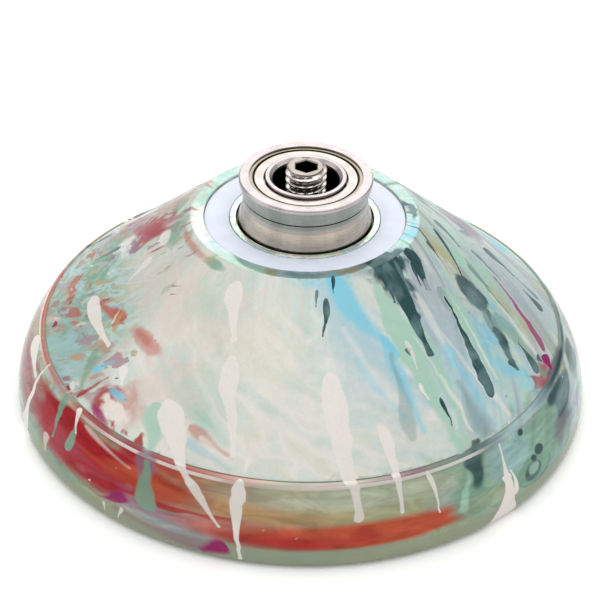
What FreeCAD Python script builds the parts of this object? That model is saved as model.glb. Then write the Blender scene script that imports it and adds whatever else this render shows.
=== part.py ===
import FreeCAD, Part

import math
import os
import re

import Sketcher

# One half of a ball-bearing yo-yo, lying cup side down on its rim.
# Millimetres. The origin is the middle of the rim's foot and +Z runs up the axle.

BALL_COUNT = 10
FULL_TURN = 360.0
BALL_STEP = FULL_TURN / BALL_COUNT
SOCKET_SIDES = 6
SOCKET_TURN = 30.0
DRILL_POINT = 118.0
SNAP_TURN = -84.0
SAME_PLACE = 1e-4
AXIS = "0"

# Driving sizes, each set by itself
SIZES = {
    # outside of the turned half
    "rim_diameter": 56.0,
    "rim_flare": 2.25,
    "foot_round": 1.0,
    "body_height": 20.0,
    "cone_foot_height": 7.8,
    "bead_width": 0.7,
    "bead_drop": 0.5,
    "ring_width": 1.25,
    "ring_round": 0.15,
    # response groove and bearing seat
    "lip_width": 0.6,
    "lip_drop": 0.2,
    "pad_width": 2.48,
    "pad_thickness": 1.2,
    "pad_fit": 0.03,
    "pad_round": 0.12,
    "bearing_gap": 0.22,
    "bearing_sink": 0.2,
    "race_clearance": 0.3,
    "shoulder_width": 0.6,
    "post_reach": 2.1,
    "post_fit": 0.01,
    "post_chamfer": 0.25,
    # cup and hub, on the hidden side
    "floor_wall": 2.6,
    "cone_wall": 2.2,
    "rim_wall": 5.7,
    "cup_flare": 1.4,
    "cup_round": 1.5,
    "mouth_round": 0.8,
    "hub_wall": 3.0,
    "hub_floor": 3.0,
    "hub_round": 0.6,
    # axle set screw
    "axle_diameter": 4.0,
    "thread_pitch_diameter": 3.545,
    "axle_length": 12.0,
    "axle_stand": 1.05,
    "axle_chamfer": 0.45,
    "axle_fit": 0.02,
    "hole_spare": 0.5,
    "socket_flats": 2.0,
    "socket_depth": 1.8,
    # ball bearing
    "bearing_bore": 6.35,
    "bearing_outer": 12.7,
    "bearing_width": 4.762,
    "track_width": 0.95,
    "track_depth": 0.4,
    "track_land": 0.25,
    "edge_break": 0.12,
    "ball_diameter": 1.5875,
    "ball_clearance": 0.03,
    "raceway_relief": 0.03,
    "race_face_width": 0.675,
    "race_face_break": 0.08,
    "race_step_depth": 0.75,
    "bore_chamfer": 0.3,
    # shields and the snap rings that hold them
    "shield_ledge": 0.19,
    "shield_thickness": 0.18,
    "shield_flange": 0.4,
    "shield_rise": 0.12,
    "shield_fit": 0.02,
    "shield_gap": 0.15,
    "snap_inset": 0.15,
    "snap_slot": 0.2,
    "snap_thickness": 0.18,
    "snap_bite": 0.12,
    "snap_show": 0.32,
    "snap_fit": 0.02,
    "snap_opening": 12.0,
    # ball cage
    "cage_width": 0.6,
    "cage_gap": 0.13,
    "cage_back": 0.4,
    "cage_prong": 0.55,
    "pocket_clearance": 0.05,
    "notch_width": 0.5,
    "notch_depth": 0.7,
}

# Places worked out from the driving sizes
PLACES = {
    "rim_radius": "rim_diameter / 2",
    "foot_radius": "rim_radius - foot_round",
    "bead_radius": "rim_radius - rim_flare",
    "bead_height": "cone_foot_height - bead_drop",
    "cone_foot_radius": "bead_radius - bead_width",
    "bore_radius": "bearing_bore / 2",
    "outer_radius": "bearing_outer / 2",
    "half_width": "bearing_width / 2",
    "recess_radius": "outer_radius + bearing_gap",
    "groove_inner": "recess_radius + lip_width",
    "groove_outer": "groove_inner + pad_width",
    "ring_radius": "groove_outer + ring_width",
    "lip_height": "body_height - lip_drop",
    "groove_floor": "lip_height - pad_thickness",
    "bearing_base": "lip_height - bearing_sink",
    "bearing_middle": "bearing_base + half_width",
    "recess_floor": "bearing_base - race_clearance",
    "shoulder_radius": "bore_radius + shoulder_width",
    "post_radius": "bore_radius - post_fit",
    "post_top": "bearing_base + post_reach",
    "axle_radius": "axle_diameter / 2",
    "engaged_radius": "thread_pitch_diameter / 2",
    "axle_foot": "bearing_base + bearing_width + axle_stand - axle_length",
    "engaged_length": "post_top - axle_foot",
    "hole_diameter": "thread_pitch_diameter + 2 * axle_fit",
    "hole_floor": "axle_foot - hole_spare",
    "hole_depth": "post_top - hole_floor",
    "hub_radius": "axle_radius + hub_wall",
    "hub_end": "hole_floor - hub_floor",
    "cup_floor": "groove_floor - floor_wall",
    "cone_slope": "(body_height - cone_foot_height) / (cone_foot_radius - ring_radius)",
    "cone_sink": "cone_wall * sqrt(1 + cone_slope ^ 2)",
    "cup_floor_radius": "ring_radius + (body_height - cone_sink - cup_floor) / cone_slope",
    "cup_rim_radius": "rim_radius - rim_wall",
    "cup_rim_height": "body_height - cone_sink - (cup_rim_radius - ring_radius) * cone_slope",
    "cup_mouth_radius": "cup_rim_radius + cup_flare",
    "pitch_radius": "(bore_radius + outer_radius) / 2",
    "ball_radius": "ball_diameter / 2",
    "raceway_radius": "ball_radius + raceway_relief",
    "track_radius": "outer_radius - track_depth",
    "track_edge": "half_width - edge_break - track_land",
    "outer_land": "pitch_radius + cage_width / 2 + cage_gap",
    "outer_raceway": "pitch_radius + ball_clearance - raceway_relief",
    "outer_raceway_edge": "sqrt(raceway_radius ^ 2 - (outer_land - outer_raceway) ^ 2)",
    "inner_land": "pitch_radius - cage_width / 2 - cage_gap",
    "inner_raceway": "pitch_radius - ball_clearance + raceway_relief",
    "inner_raceway_edge": "sqrt(raceway_radius ^ 2 - (inner_raceway - inner_land) ^ 2)",
    "race_face_radius": "bore_radius + race_face_width",
    "race_step": "half_width - race_step_depth",
    "seat_radius": "outer_land + shield_ledge",
    "slot_radius": "seat_radius + snap_bite",
    "slot_mouth": "half_width - snap_inset",
    "slot_floor": "slot_mouth - snap_slot",
    "seat_height": "slot_floor - shield_thickness",
    "shield_outer": "seat_radius - shield_fit",
    "shield_inner": "race_face_radius + shield_gap",
    "shield_fold": "shield_outer - shield_flange",
    "shield_web": "shield_fold - shield_rise",
    "cage_height": "cage_prong + ball_radius + cage_back",
}

WORD = re.compile(r"[a-z][a-z_]*")

doc = FreeCAD.newDocument("yo_yo_half")
sizes = doc.addObject("Spreadsheet::Sheet", "Sizes")
places = doc.addObject("Spreadsheet::Sheet", "Places")


def fill_sheets():
    """Write the driving sizes as plain numbers, and the places as formulas of them."""
    for row, (word, size) in enumerate(SIZES.items(), start=1):
        sizes.set(f"A{row}", word)
        sizes.set(f"B{row}", str(size))
        sizes.setAlias(f"B{row}", word)
    doc.recompute()
    for row, (word, text) in enumerate(PLACES.items(), start=1):
        places.set(f"A{row}", word)
        places.setAlias(f"B{row}", word)
        places.set(f"B{row}", "=" + WORD.sub(size_address, text))
    doc.recompute()


def size_address(match):
    """A driving size is named with its sheet, and any other word stands as it is."""
    word = match.group()
    return f"Sizes.{word}" if word in SIZES else word


def address(match):
    """A word of either sheet, named with its sheet."""
    word = match.group()
    return f"Places.{word}" if word in PLACES else size_address(match)


def formula(text):
    """An expression in the sheets' words, as a property of any object can hold it."""
    return WORD.sub(address, text)


def value(text):
    """What an expression in the sheets' words comes to now."""
    return float(places.evalExpression(formula(text)))


def bind(thing, name, text):
    """Tie a property to an expression in the sheets' words."""
    thing.setExpression(name, formula(text))


def origin_feature(body, role):
    """One of a body's own origin planes or axes."""
    return next(item for item in body.Origin.OriginFeatures if item.Role == role)


def new_body(label):
    """An empty body whose label names its piece."""
    body = doc.addObject("PartDesign::Body", label)
    body.Label = label
    return body


def arc_middle(begin, finish, along, fixed):
    """The middle of the arc between two points, where one of its coordinates is fixed."""
    if along == "height":
        gap = (begin.y - fixed) ** 2 - (finish.y - fixed) ** 2
        across = (begin.x**2 - finish.x**2 + gap) / (2 * (begin.x - finish.x))
        return FreeCAD.Vector(across, fixed, 0)
    gap = (begin.x - fixed) ** 2 - (finish.x - fixed) ** 2
    upward = (begin.y**2 - finish.y**2 + gap) / (2 * (begin.y - finish.y))
    return FreeCAD.Vector(fixed, upward, 0)


def arc_side(begin, finish, along, fixed):
    """The short arc between two points, and which of its ends is the beginning."""
    middle = arc_middle(begin, finish, along, fixed)
    circle = Part.Circle(middle, FreeCAD.Vector(0, 0, 1), middle.distanceToPoint(begin))
    first = math.atan2(begin.y - middle.y, begin.x - middle.x)
    last = math.atan2(finish.y - middle.y, finish.x - middle.x)
    if (last - first) % math.tau < math.pi:
        return Part.ArcOfCircle(circle, first, last), 1
    return Part.ArcOfCircle(circle, last, first), 2


def hold(sketch, side, end, along, text):
    """Fix one coordinate of a sketch point by an expression, or put it on the axis."""
    if text == AXIS:
        line = -2 if along == "radius" else -1
        sketch.addConstraint(Sketcher.Constraint("PointOnObject", side, end, line))
        return
    kind = "DistanceX" if along == "radius" else "DistanceY"
    index = sketch.addConstraint(Sketcher.Constraint(kind, -1, 1, side, end, value(text)))
    bind(sketch, f"Constraints[{index}]", text)


def outline(body, name, corners, arcs=None):
    """A closed sketch through (radius, height) corners in the body's upright plane.

    arcs maps a side's number to the coordinate of its middle that is fixed, and its expression.
    """
    arcs = arcs or {}
    sketch = body.newObject("Sketcher::SketchObject", name)
    sketch.AttachmentSupport = (origin_feature(body, "XZ_Plane"), [""])
    sketch.MapMode = "FlatFace"
    points = [FreeCAD.Vector(value(radius), value(height), 0) for radius, height in corners]
    starts = []
    for side, begin in enumerate(points):
        finish = points[(side + 1) % len(points)]
        if side in arcs:
            along, text = arcs[side]
            line, start = arc_side(begin, finish, along, value(text))
        else:
            line, start = Part.LineSegment(begin, finish), 1
        sketch.addGeometry(line)
        starts.append(start)
    for side, start in enumerate(starts):
        after = (side + 1) % len(starts)
        join = Sketcher.Constraint("Coincident", side, 3 - start, after, starts[after])
        sketch.addConstraint(join)
    for side, (radius, height) in enumerate(corners):
        hold(sketch, side, starts[side], "radius", radius)
        hold(sketch, side, starts[side], "height", height)
    for side, (along, text) in arcs.items():
        hold(sketch, side, 3, along, text)
    return sketch


def turned(body, name, corners, arcs=None, kind="PartDesign::Revolution"):
    """A profile turned about the body's axle."""
    sketch = outline(body, name + "_profile", corners, arcs)
    feature = body.newObject(kind, name)
    feature.Profile = sketch
    feature.ReferenceAxis = (sketch, ["V_Axis"])
    feature.Angle = FULL_TURN
    doc.recompute()
    return feature


def turned_cut(body, name, corners):
    """A profile cut out all round the body's axle."""
    before = body.Shape.Volume
    feature = turned(body, name, corners, kind="PartDesign::Groove")
    if body.Shape.Volume >= before:
        raise RuntimeError(f"{name} cuts nothing")
    return feature


def mirrored(body, feature):
    """The other half of a piece that is alike above and below its middle."""
    copy = body.newObject("PartDesign::Mirrored", "mirrored_half")
    copy.Originals = [feature]
    copy.MirrorPlane = (origin_feature(body, "XY_Plane"), [""])
    body.Tip = copy
    doc.recompute()


def rounded(body, name, radius, circles):
    """A fillet on the round edges that lie at the given (radius, height) places."""
    base = body.Tip
    wanted = [(value(across), value(height)) for across, height in circles]
    edges = []
    for number, edge in enumerate(base.Shape.Edges, start=1):
        if not isinstance(edge.Curve, Part.Circle):
            continue
        found = (edge.Curve.Radius, edge.Curve.Center.z)
        if any(math.dist(found, place) < SAME_PLACE for place in wanted):
            edges.append(f"Edge{number}")
    if len(edges) < len(circles):
        raise RuntimeError(f"{name} finds {len(edges)} of its {len(circles)} edges")
    fillet = body.newObject("PartDesign::Fillet", name)
    fillet.Base = (base, edges)
    bind(fillet, "Radius", radius)
    doc.recompute()


def make_body():
    """The turned aluminium half: seat, response groove, cone, bead, rim and cup."""
    body = new_body("body")
    turned(
        body,
        "outer_form",
        [
            (AXIS, AXIS),
            ("foot_radius", AXIS),
            ("rim_radius", "foot_round"),
            ("bead_radius", "bead_height"),
            ("cone_foot_radius", "cone_foot_height"),
            ("ring_radius", "body_height"),
            (AXIS, "body_height"),
        ],
        arcs={
            1: ("height", "foot_round"),
            2: ("height", "foot_round"),
            3: ("radius", "cone_foot_radius"),
        },
    )
    turned_cut(
        body,
        "seat_and_response_groove",
        [
            (AXIS, "body_height"),
            ("groove_outer", "body_height"),
            ("groove_outer", "groove_floor"),
            ("groove_inner", "groove_floor"),
            ("groove_inner", "lip_height"),
            ("recess_radius", "lip_height"),
            ("recess_radius", "recess_floor"),
            ("shoulder_radius", "recess_floor"),
            ("shoulder_radius", "bearing_base"),
            (AXIS, "bearing_base"),
        ],
    )
    turned(
        body,
        "bearing_post",
        [
            (AXIS, "bearing_base"),
            ("post_radius", "bearing_base"),
            ("post_radius", "post_top - post_chamfer"),
            ("post_radius - post_chamfer", "post_top"),
            (AXIS, "post_top"),
        ],
    )
    turned_cut(
        body,
        "cup",
        [
            (AXIS, AXIS),
            ("cup_mouth_radius", AXIS),
            ("cup_rim_radius", "cup_rim_height"),
            ("cup_floor_radius", "cup_floor"),
            ("hub_radius", "cup_floor"),
            ("hub_radius", "hub_end"),
            (AXIS, "hub_end"),
        ],
    )
    drill_axle_hole(body)
    rounded(
        body,
        "cup_fillets",
        "cup_round",
        [
            ("cup_rim_radius", "cup_rim_height"),
            ("cup_floor_radius", "cup_floor"),
            ("hub_radius", "cup_floor"),
        ],
    )
    rounded(body, "mouth_fillet", "mouth_round", [("cup_mouth_radius", AXIS)])
    rounded(body, "hub_fillet", "hub_round", [("hub_radius", "hub_end")])
    rounded(body, "ring_fillet", "ring_round", [("ring_radius", "body_height")])
    return body


def drill_axle_hole(body):
    """The blind hole for the axle, drilled down from the end of the bearing post."""
    before = body.Shape.Volume
    sketch = body.newObject("Sketcher::SketchObject", "axle_hole_middle")
    sketch.AttachmentSupport = (origin_feature(body, "XY_Plane"), [""])
    sketch.MapMode = "FlatFace"
    bind(sketch, "AttachmentOffset.Base.z", "post_top")
    upward = FreeCAD.Vector(0, 0, 1)
    sketch.addGeometry(Part.Circle(FreeCAD.Vector(), upward, value("hole_diameter / 2")))
    sketch.addConstraint(Sketcher.Constraint("Coincident", 0, 3, -1, 1))
    index = sketch.addConstraint(Sketcher.Constraint("Diameter", 0, value("hole_diameter")))
    bind(sketch, f"Constraints[{index}]", "hole_diameter")
    doc.recompute()
    hole = body.newObject("PartDesign::Hole", "axle_hole")
    hole.Profile = sketch
    hole.ThreadType = "None"
    hole.DepthType = "Dimension"
    hole.DrillPoint = "Angled"
    hole.DrillPointAngle = DRILL_POINT
    bind(hole, "Diameter", "hole_diameter")
    bind(hole, "Depth", "hole_depth")
    doc.recompute()
    if body.Shape.Volume >= before:
        raise RuntimeError("axle_hole cuts nothing")


def make_response_pad():
    """The silicone ring in the response groove."""
    body = new_body("response_pad")
    inner = "groove_inner + pad_fit"
    outer = "groove_outer - pad_fit"
    turned(
        body,
        "ring",
        [
            (inner, AXIS),
            (outer, AXIS),
            (outer, "pad_thickness"),
            (inner, "pad_thickness"),
        ],
    )
    rounded(
        body,
        "worn_edges",
        "pad_round",
        [(inner, "pad_thickness"), (outer, "pad_thickness")],
    )
    bind(body, "Placement.Base.z", "groove_floor")
    return body


def make_axle_screw():
    """The set screw: its engaged length at the thread's pitch line, its free length at full size."""
    body = new_body("axle_screw")
    turned(
        body,
        "shank",
        [
            (AXIS, AXIS),
            ("engaged_radius - axle_chamfer", AXIS),
            ("engaged_radius", "axle_chamfer"),
            ("engaged_radius", "engaged_length"),
            ("axle_radius", "engaged_length"),
            ("axle_radius", "axle_length - axle_chamfer"),
            ("axle_radius - axle_chamfer", "axle_length"),
            (AXIS, "axle_length"),
        ],
    )
    before = body.Shape.Volume
    socket = body.newObject("PartDesign::SubtractivePrism", "hex_socket")
    socket.Polygon = SOCKET_SIDES
    turn = FreeCAD.Rotation(FreeCAD.Vector(0, 0, 1), SOCKET_TURN)
    socket.Placement = FreeCAD.Placement(FreeCAD.Vector(), turn)
    bind(socket, "Circumradius", "socket_flats / sqrt(3)")
    bind(socket, "Height", "socket_depth")
    bind(socket, "Placement.Base.z", "axle_length - socket_depth")
    doc.recompute()
    if body.Shape.Volume >= before:
        raise RuntimeError("hex_socket cuts nothing")
    bind(body, "Placement.Base.z", "axle_foot")
    return body


def make_outer_race():
    """The bearing's outer ring, with the string track outside and a snap ring slot at each face."""
    body = new_body("outer_race")
    half = turned(
        body,
        "upper_half",
        [
            ("track_radius", AXIS),
            ("track_radius", "track_width / 2"),
            ("outer_radius", "track_edge"),
            ("outer_radius", "half_width - edge_break"),
            ("outer_radius - edge_break", "half_width"),
            ("seat_radius", "half_width"),
            ("seat_radius", "slot_mouth"),
            ("slot_radius", "slot_mouth"),
            ("slot_radius", "slot_floor"),
            ("seat_radius", "slot_floor"),
            ("seat_radius", "seat_height"),
            ("outer_land", "seat_height"),
            ("outer_land", "outer_raceway_edge"),
            ("outer_raceway + raceway_radius", AXIS),
        ],
        arcs={12: ("height", AXIS)},
    )
    mirrored(body, half)
    bind(body, "Placement.Base.z", "bearing_middle")
    return body


def make_inner_race():
    """The bearing's inner ring, on the post, stepped down at each face to clear the shields."""
    body = new_body("inner_race")
    half = turned(
        body,
        "upper_half",
        [
            ("bore_radius", AXIS),
            ("inner_raceway - raceway_radius", AXIS),
            ("inner_land", "inner_raceway_edge"),
            ("inner_land", "race_step"),
            ("race_face_radius", "race_step"),
            ("race_face_radius", "half_width - race_face_break"),
            ("race_face_radius - race_face_break", "half_width"),
            ("bore_radius + bore_chamfer", "half_width"),
            ("bore_radius", "half_width - bore_chamfer"),
        ],
        arcs={1: ("height", AXIS)},
    )
    mirrored(body, half)
    bind(body, "Placement.Base.z", "bearing_middle")
    return body


def place_at_face(body, turn, face_up):
    """Stand a piece in the bearing's upper face, or turned over in its lower one."""
    about = FreeCAD.Rotation(FreeCAD.Vector(0, 0, 1), turn)
    if not face_up:
        about = FreeCAD.Rotation(FreeCAD.Vector(1, 0, 0), FULL_TURN / 2) * about
    body.Placement = FreeCAD.Placement(FreeCAD.Vector(), about)
    bind(body, "Placement.Base.z", "bearing_middle")


def make_shield(label, face_up):
    """A pressed steel shield: a flange on the outer race's ledge and a raised web."""
    body = new_body(label)
    turned(
        body,
        "pressing",
        [
            ("shield_outer", "seat_height"),
            ("shield_outer", "slot_floor"),
            ("shield_fold", "slot_floor"),
            ("shield_web", "slot_floor + shield_rise"),
            ("shield_inner", "slot_floor + shield_rise"),
            ("shield_inner", "seat_height + shield_rise"),
            ("shield_web", "seat_height + shield_rise"),
            ("shield_fold", "seat_height"),
        ],
    )
    place_at_face(body, 0.0, face_up)
    return body


def make_snap_ring(label, face_up):
    """An open ring sprung into the slot of the outer race, over the shield's flange."""
    body = new_body(label)
    inner = "seat_radius - snap_show"
    outer = "slot_radius - snap_fit"
    ring = turned(
        body,
        "open_ring",
        [
            (inner, "slot_floor"),
            (outer, "slot_floor"),
            (outer, "slot_floor + snap_thickness"),
            (inner, "slot_floor + snap_thickness"),
        ],
    )
    bind(ring, "Angle", f"{FULL_TURN} - snap_opening")
    place_at_face(body, SNAP_TURN, face_up)
    return body


def make_ball_cage():
    """The crown retainer: a ring with a round pocket for each ball and split prongs between."""
    body = new_body("ball_cage")
    inner = "pitch_radius - cage_width / 2"
    outer = "pitch_radius + cage_width / 2"
    turned(
        body,
        "crown",
        [
            (inner, AXIS),
            (outer, AXIS),
            (outer, "cage_height"),
            (inner, "cage_height"),
        ],
    )
    before = body.Shape.Volume
    pocket = body.newObject("PartDesign::SubtractiveSphere", "ball_pocket")
    bind(pocket, "Radius", "ball_radius + pocket_clearance")
    bind(pocket, "Placement.Base.x", f"pitch_radius * cos({BALL_STEP / 2})")
    bind(pocket, "Placement.Base.y", f"pitch_radius * sin({BALL_STEP / 2})")
    bind(pocket, "Placement.Base.z", "cage_prong")
    doc.recompute()
    notch = body.newObject("PartDesign::SubtractiveBox", "prong_notch")
    bind(notch, "Length", "2 * cage_width")
    bind(notch, "Width", "notch_width")
    bind(notch, "Height", "notch_depth")
    bind(notch, "Placement.Base.x", "pitch_radius - cage_width")
    bind(notch, "Placement.Base.y", "-notch_width / 2")
    doc.recompute()
    pattern = body.newObject("PartDesign::PolarPattern", "all_pockets")
    pattern.Originals = [pocket, notch]
    pattern.Axis = (origin_feature(body, "Z_Axis"), [""])
    pattern.Angle = FULL_TURN
    pattern.Occurrences = BALL_COUNT
    body.Tip = pattern
    doc.recompute()
    if body.Shape.Volume >= before:
        raise RuntimeError("all_pockets cuts nothing")
    bind(body, "Placement.Base.z", "bearing_middle - cage_prong")
    return body


def make_ball(number):
    """One bearing ball, on the pitch circle between two prongs of the cage."""
    label = f"ball_{number:02d}"
    angle = BALL_STEP * (number - 0.5)
    ball = doc.addObject("Part::Sphere", label)
    ball.Label = label
    bind(ball, "Radius", "ball_radius")
    bind(ball, "Placement.Base.x", f"pitch_radius * cos({angle})")
    bind(ball, "Placement.Base.y", f"pitch_radius * sin({angle})")
    bind(ball, "Placement.Base.z", "bearing_middle")
    return ball


def write_parts(pieces):
    """Refuse a failed model, then write each piece under its own label."""
    doc.recompute()
    for thing in doc.Objects:
        if "Invalid" in thing.State or "Error" in thing.State:
            raise RuntimeError(f"{thing.Name} failed: {thing.State}")
    for piece in pieces:
        if piece.Shape.isNull() or not piece.Shape.isValid():
            raise RuntimeError(f"{piece.Label} has no valid shape")
        if len(piece.Shape.Solids) != 1:
            raise RuntimeError(f"{piece.Label} is not one solid")
    os.makedirs("parts", exist_ok=True)
    for piece in pieces:
        piece.Shape.exportStep(f"parts/{piece.Label}.step")


def main():
    fill_sheets()
    pieces = [
        make_body(),
        make_response_pad(),
        make_axle_screw(),
        make_inner_race(),
        make_outer_race(),
        make_shield("upper_shield", face_up=True),
        make_shield("lower_shield", face_up=False),
        make_snap_ring("upper_snap_ring", face_up=True),
        make_snap_ring("lower_snap_ring", face_up=False),
        make_ball_cage(),
    ]
    pieces += [make_ball(number) for number in range(1, BALL_COUNT + 1)]
    write_parts(pieces)


main()
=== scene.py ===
"""The looks of one yo-yo half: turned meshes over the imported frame, their finishes and a studio."""

import math
import random
from typing import NamedTuple

import bmesh
import bpy
from bpy.props import FloatProperty, FloatVectorProperty, PointerProperty
from bpy.types import NodeSocket, Operator, Panel, PropertyGroup, Scene
from mathutils import Matrix, Vector


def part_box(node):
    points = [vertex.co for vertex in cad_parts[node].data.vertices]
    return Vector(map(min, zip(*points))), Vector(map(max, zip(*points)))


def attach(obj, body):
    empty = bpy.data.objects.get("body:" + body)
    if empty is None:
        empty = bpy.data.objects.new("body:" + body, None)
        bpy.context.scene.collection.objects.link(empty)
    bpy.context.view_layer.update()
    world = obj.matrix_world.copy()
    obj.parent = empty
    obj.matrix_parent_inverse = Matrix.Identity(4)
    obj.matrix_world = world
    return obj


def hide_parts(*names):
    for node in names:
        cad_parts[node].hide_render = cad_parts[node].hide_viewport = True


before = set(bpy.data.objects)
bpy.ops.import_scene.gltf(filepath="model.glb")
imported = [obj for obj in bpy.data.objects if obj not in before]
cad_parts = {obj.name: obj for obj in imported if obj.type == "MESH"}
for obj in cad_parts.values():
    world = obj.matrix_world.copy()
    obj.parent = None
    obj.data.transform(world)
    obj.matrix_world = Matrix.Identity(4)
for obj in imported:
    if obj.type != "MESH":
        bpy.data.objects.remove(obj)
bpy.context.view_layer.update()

bl_info = {
    "name": "Yo-yo half",
    "version": (1, 0, 0),
    "blender": (4, 5, 0),
    "location": "View3D > Sidebar > Yo-yo half",
    "description": "Turns, finishes and stages one half of a ball-bearing yo-yo",
    "category": "Object",
}

MM = 0.001
CHART = "chart"

# How finely the meshes are cut
TURNED_SIDES = 288
BEARING_SIDES = 180
SCREW_SIDES = 96
ROUND_STEPS = 4
ARC_STEPS = 20
SHARP_ANGLE = math.radians(30.0)
ON_AXIS = 1e-7

# Sockets of Blender's Mix node that carry a colour
MIX_SHARE, MIX_UNDER, MIX_OVER, MIX_RESULT = 0, 6, 7, 2

# Blender's noise keeps mostly to the first of these stretches of 0 to 1, and half of it to the second
NOISE = (0.2, 0.8)
MID_NOISE = (0.3, 0.7)


def length(name, description, millimetres):
    """A length whose default is given in millimetres."""
    return FloatProperty(
        name=name,
        description=description,
        default=millimetres * MM,
        precision=5,
        subtype="DISTANCE",
        unit="LENGTH",
    )


def angle(name, description, degrees):
    """An angle whose default is given in degrees."""
    return FloatProperty(
        name=name,
        description=description,
        default=math.radians(degrees),
        subtype="ANGLE",
        unit="ROTATION",
    )


def colour(name, description, red, green, blue):
    """A colour whose default is given as it shows on a display, from 0 to 255."""
    return FloatVectorProperty(
        name=name,
        description=description,
        default=[linear(part / 255) for part in (red, green, blue)],
        min=0.0,
        max=1.0,
        size=3,
        subtype="COLOR",
    )


def linear(part):
    """One display colour value as light."""
    return part / 12.92 if part <= 0.04045 else ((part + 0.055) / 1.055) ** 2.4


def top_of(node):
    """The height of a CAD node's highest point, in millimetres."""
    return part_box(node)[1].z / MM


def foot_of(node):
    """The height of a CAD node's lowest point, in millimetres."""
    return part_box(node)[0].z / MM


def reach_of(node):
    """How far a CAD node reaches from the axle, in millimetres."""
    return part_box(node)[1].x / MM


class ShellSizes(PropertyGroup):
    """The turned aluminium half. Heights are above the floor."""

    rim_radius: length("Rim radius", "Widest radius, at the foot", reach_of("body"))
    rim_flare: length("Rim flare", "How far the rim wall leans in up to the bead", 2.25)
    foot_round: length("Foot rounding", "Rounding of the rim where it meets the floor", 1.0)
    cone_foot_height: length("Cone foot height", "Where the cone meets the bead", 7.8)
    bead_width: length("Bead width", "Width of the bead round the foot of the cone", 0.7)
    bead_drop: length("Bead drop", "How far the bead falls over its width", 0.5)
    ring_height: length("Ring height", "Height of the polished ring round the pad", 20.0)
    ring_radius: length("Ring radius", "Outer radius of the polished ring", 10.9)
    ring_round: length("Ring rounding", "Rounding between the ring and the cone", 0.15)
    groove_outer: length("Groove outer radius", "Outer wall of the pad's groove", 9.65)
    groove_inner: length("Groove inner radius", "Inner wall of the pad's groove", 7.17)
    groove_floor: length("Groove floor", "Height of the groove's floor", foot_of("response_pad"))
    lip_height: length("Lip height", "Height of the lip round the bearing", 19.8)
    recess_radius: length("Recess radius", "Wall of the bearing's recess", 6.57)
    recess_floor: length("Recess floor", "Height of the recess floor", 19.3)
    shoulder_radius: length("Shoulder radius", "The step that carries the inner race", 3.775)
    shoulder_height: length("Shoulder height", "Height of that step", foot_of("inner_race"))
    post_radius: length("Post radius", "The post inside the inner race", 3.165)
    post_top: length("Post top", "Height of the post's end", top_of("body"))
    post_chamfer: length("Post chamfer", "Chamfer at the post's end", 0.25)
    hole_radius: length("Hole radius", "Tapped hole, at the thread's crests", 2.03)
    hole_floor: length("Hole floor", "Where the hole's walls end", 12.912)
    hole_point: length("Hole point", "Depth of the drill's point under the walls", 1.2)
    mouth_radius: length("Cup mouth radius", "Radius of the cup at the floor", 23.7)
    mouth_round: length("Cup mouth rounding", "Rounding of the cup's mouth", 0.8)
    cup_radius: length("Cup radius", "Radius of the cup under the bead", 22.3)
    cup_shoulder: length("Cup shoulder", "Height where the cup starts to close in", 7.272)
    cup_floor_radius: length("Cup floor radius", "Radius of the cup's floor", 12.175)
    cup_floor: length("Cup floor", "Height of the cup's floor", 16.0)
    cup_round: length("Cup rounding", "Rounding of the cup's corners", 1.5)
    hub_radius: length("Hub radius", "The hub round the axle in the cup", 5.0)
    hub_end: length("Hub end", "Height of the hub's end", 9.912)
    hub_round: length("Hub rounding", "Rounding of the hub's end", 0.6)
    edge_break: length("Edge break", "The small break on every turned edge", 0.06)


class PadSizes(PropertyGroup):
    """The silicone ring in the response groove."""

    inner: length("Inner radius", "Inner edge of the pad", 7.20)
    outer: length("Outer radius", "Outer edge of the pad", reach_of("response_pad"))
    floor: length("Underside", "Height of the pad's underside", foot_of("response_pad"))
    top: length("Top", "Height of the pad's top", top_of("response_pad"))
    round: length("Rounding", "Worn rounding of the top edges", 0.14)


class ScrewSizes(PropertyGroup):
    """The socket set screw that is the axle."""

    crest: length("Crest radius", "Radius at the thread's crests", 1.95)
    pitch: length("Pitch", "Distance from one thread to the next", 0.7)
    thread_depth: length("Thread depth", "From crest to root", 0.40)
    foot: length("Foot", "Height of the lower end", foot_of("axle_screw"))
    top: length("Top", "Height of the upper end", top_of("axle_screw"))
    chamfer: length("Chamfer", "Chamfer at both ends", 0.26)
    socket_flats: length("Socket width", "Width of the hex socket across its flats", 2.0)
    socket_depth: length("Socket depth", "Depth of the hex socket", 1.8)
    socket_break: length("Socket break", "Chamfer round the socket's mouth", 0.10)


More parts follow.
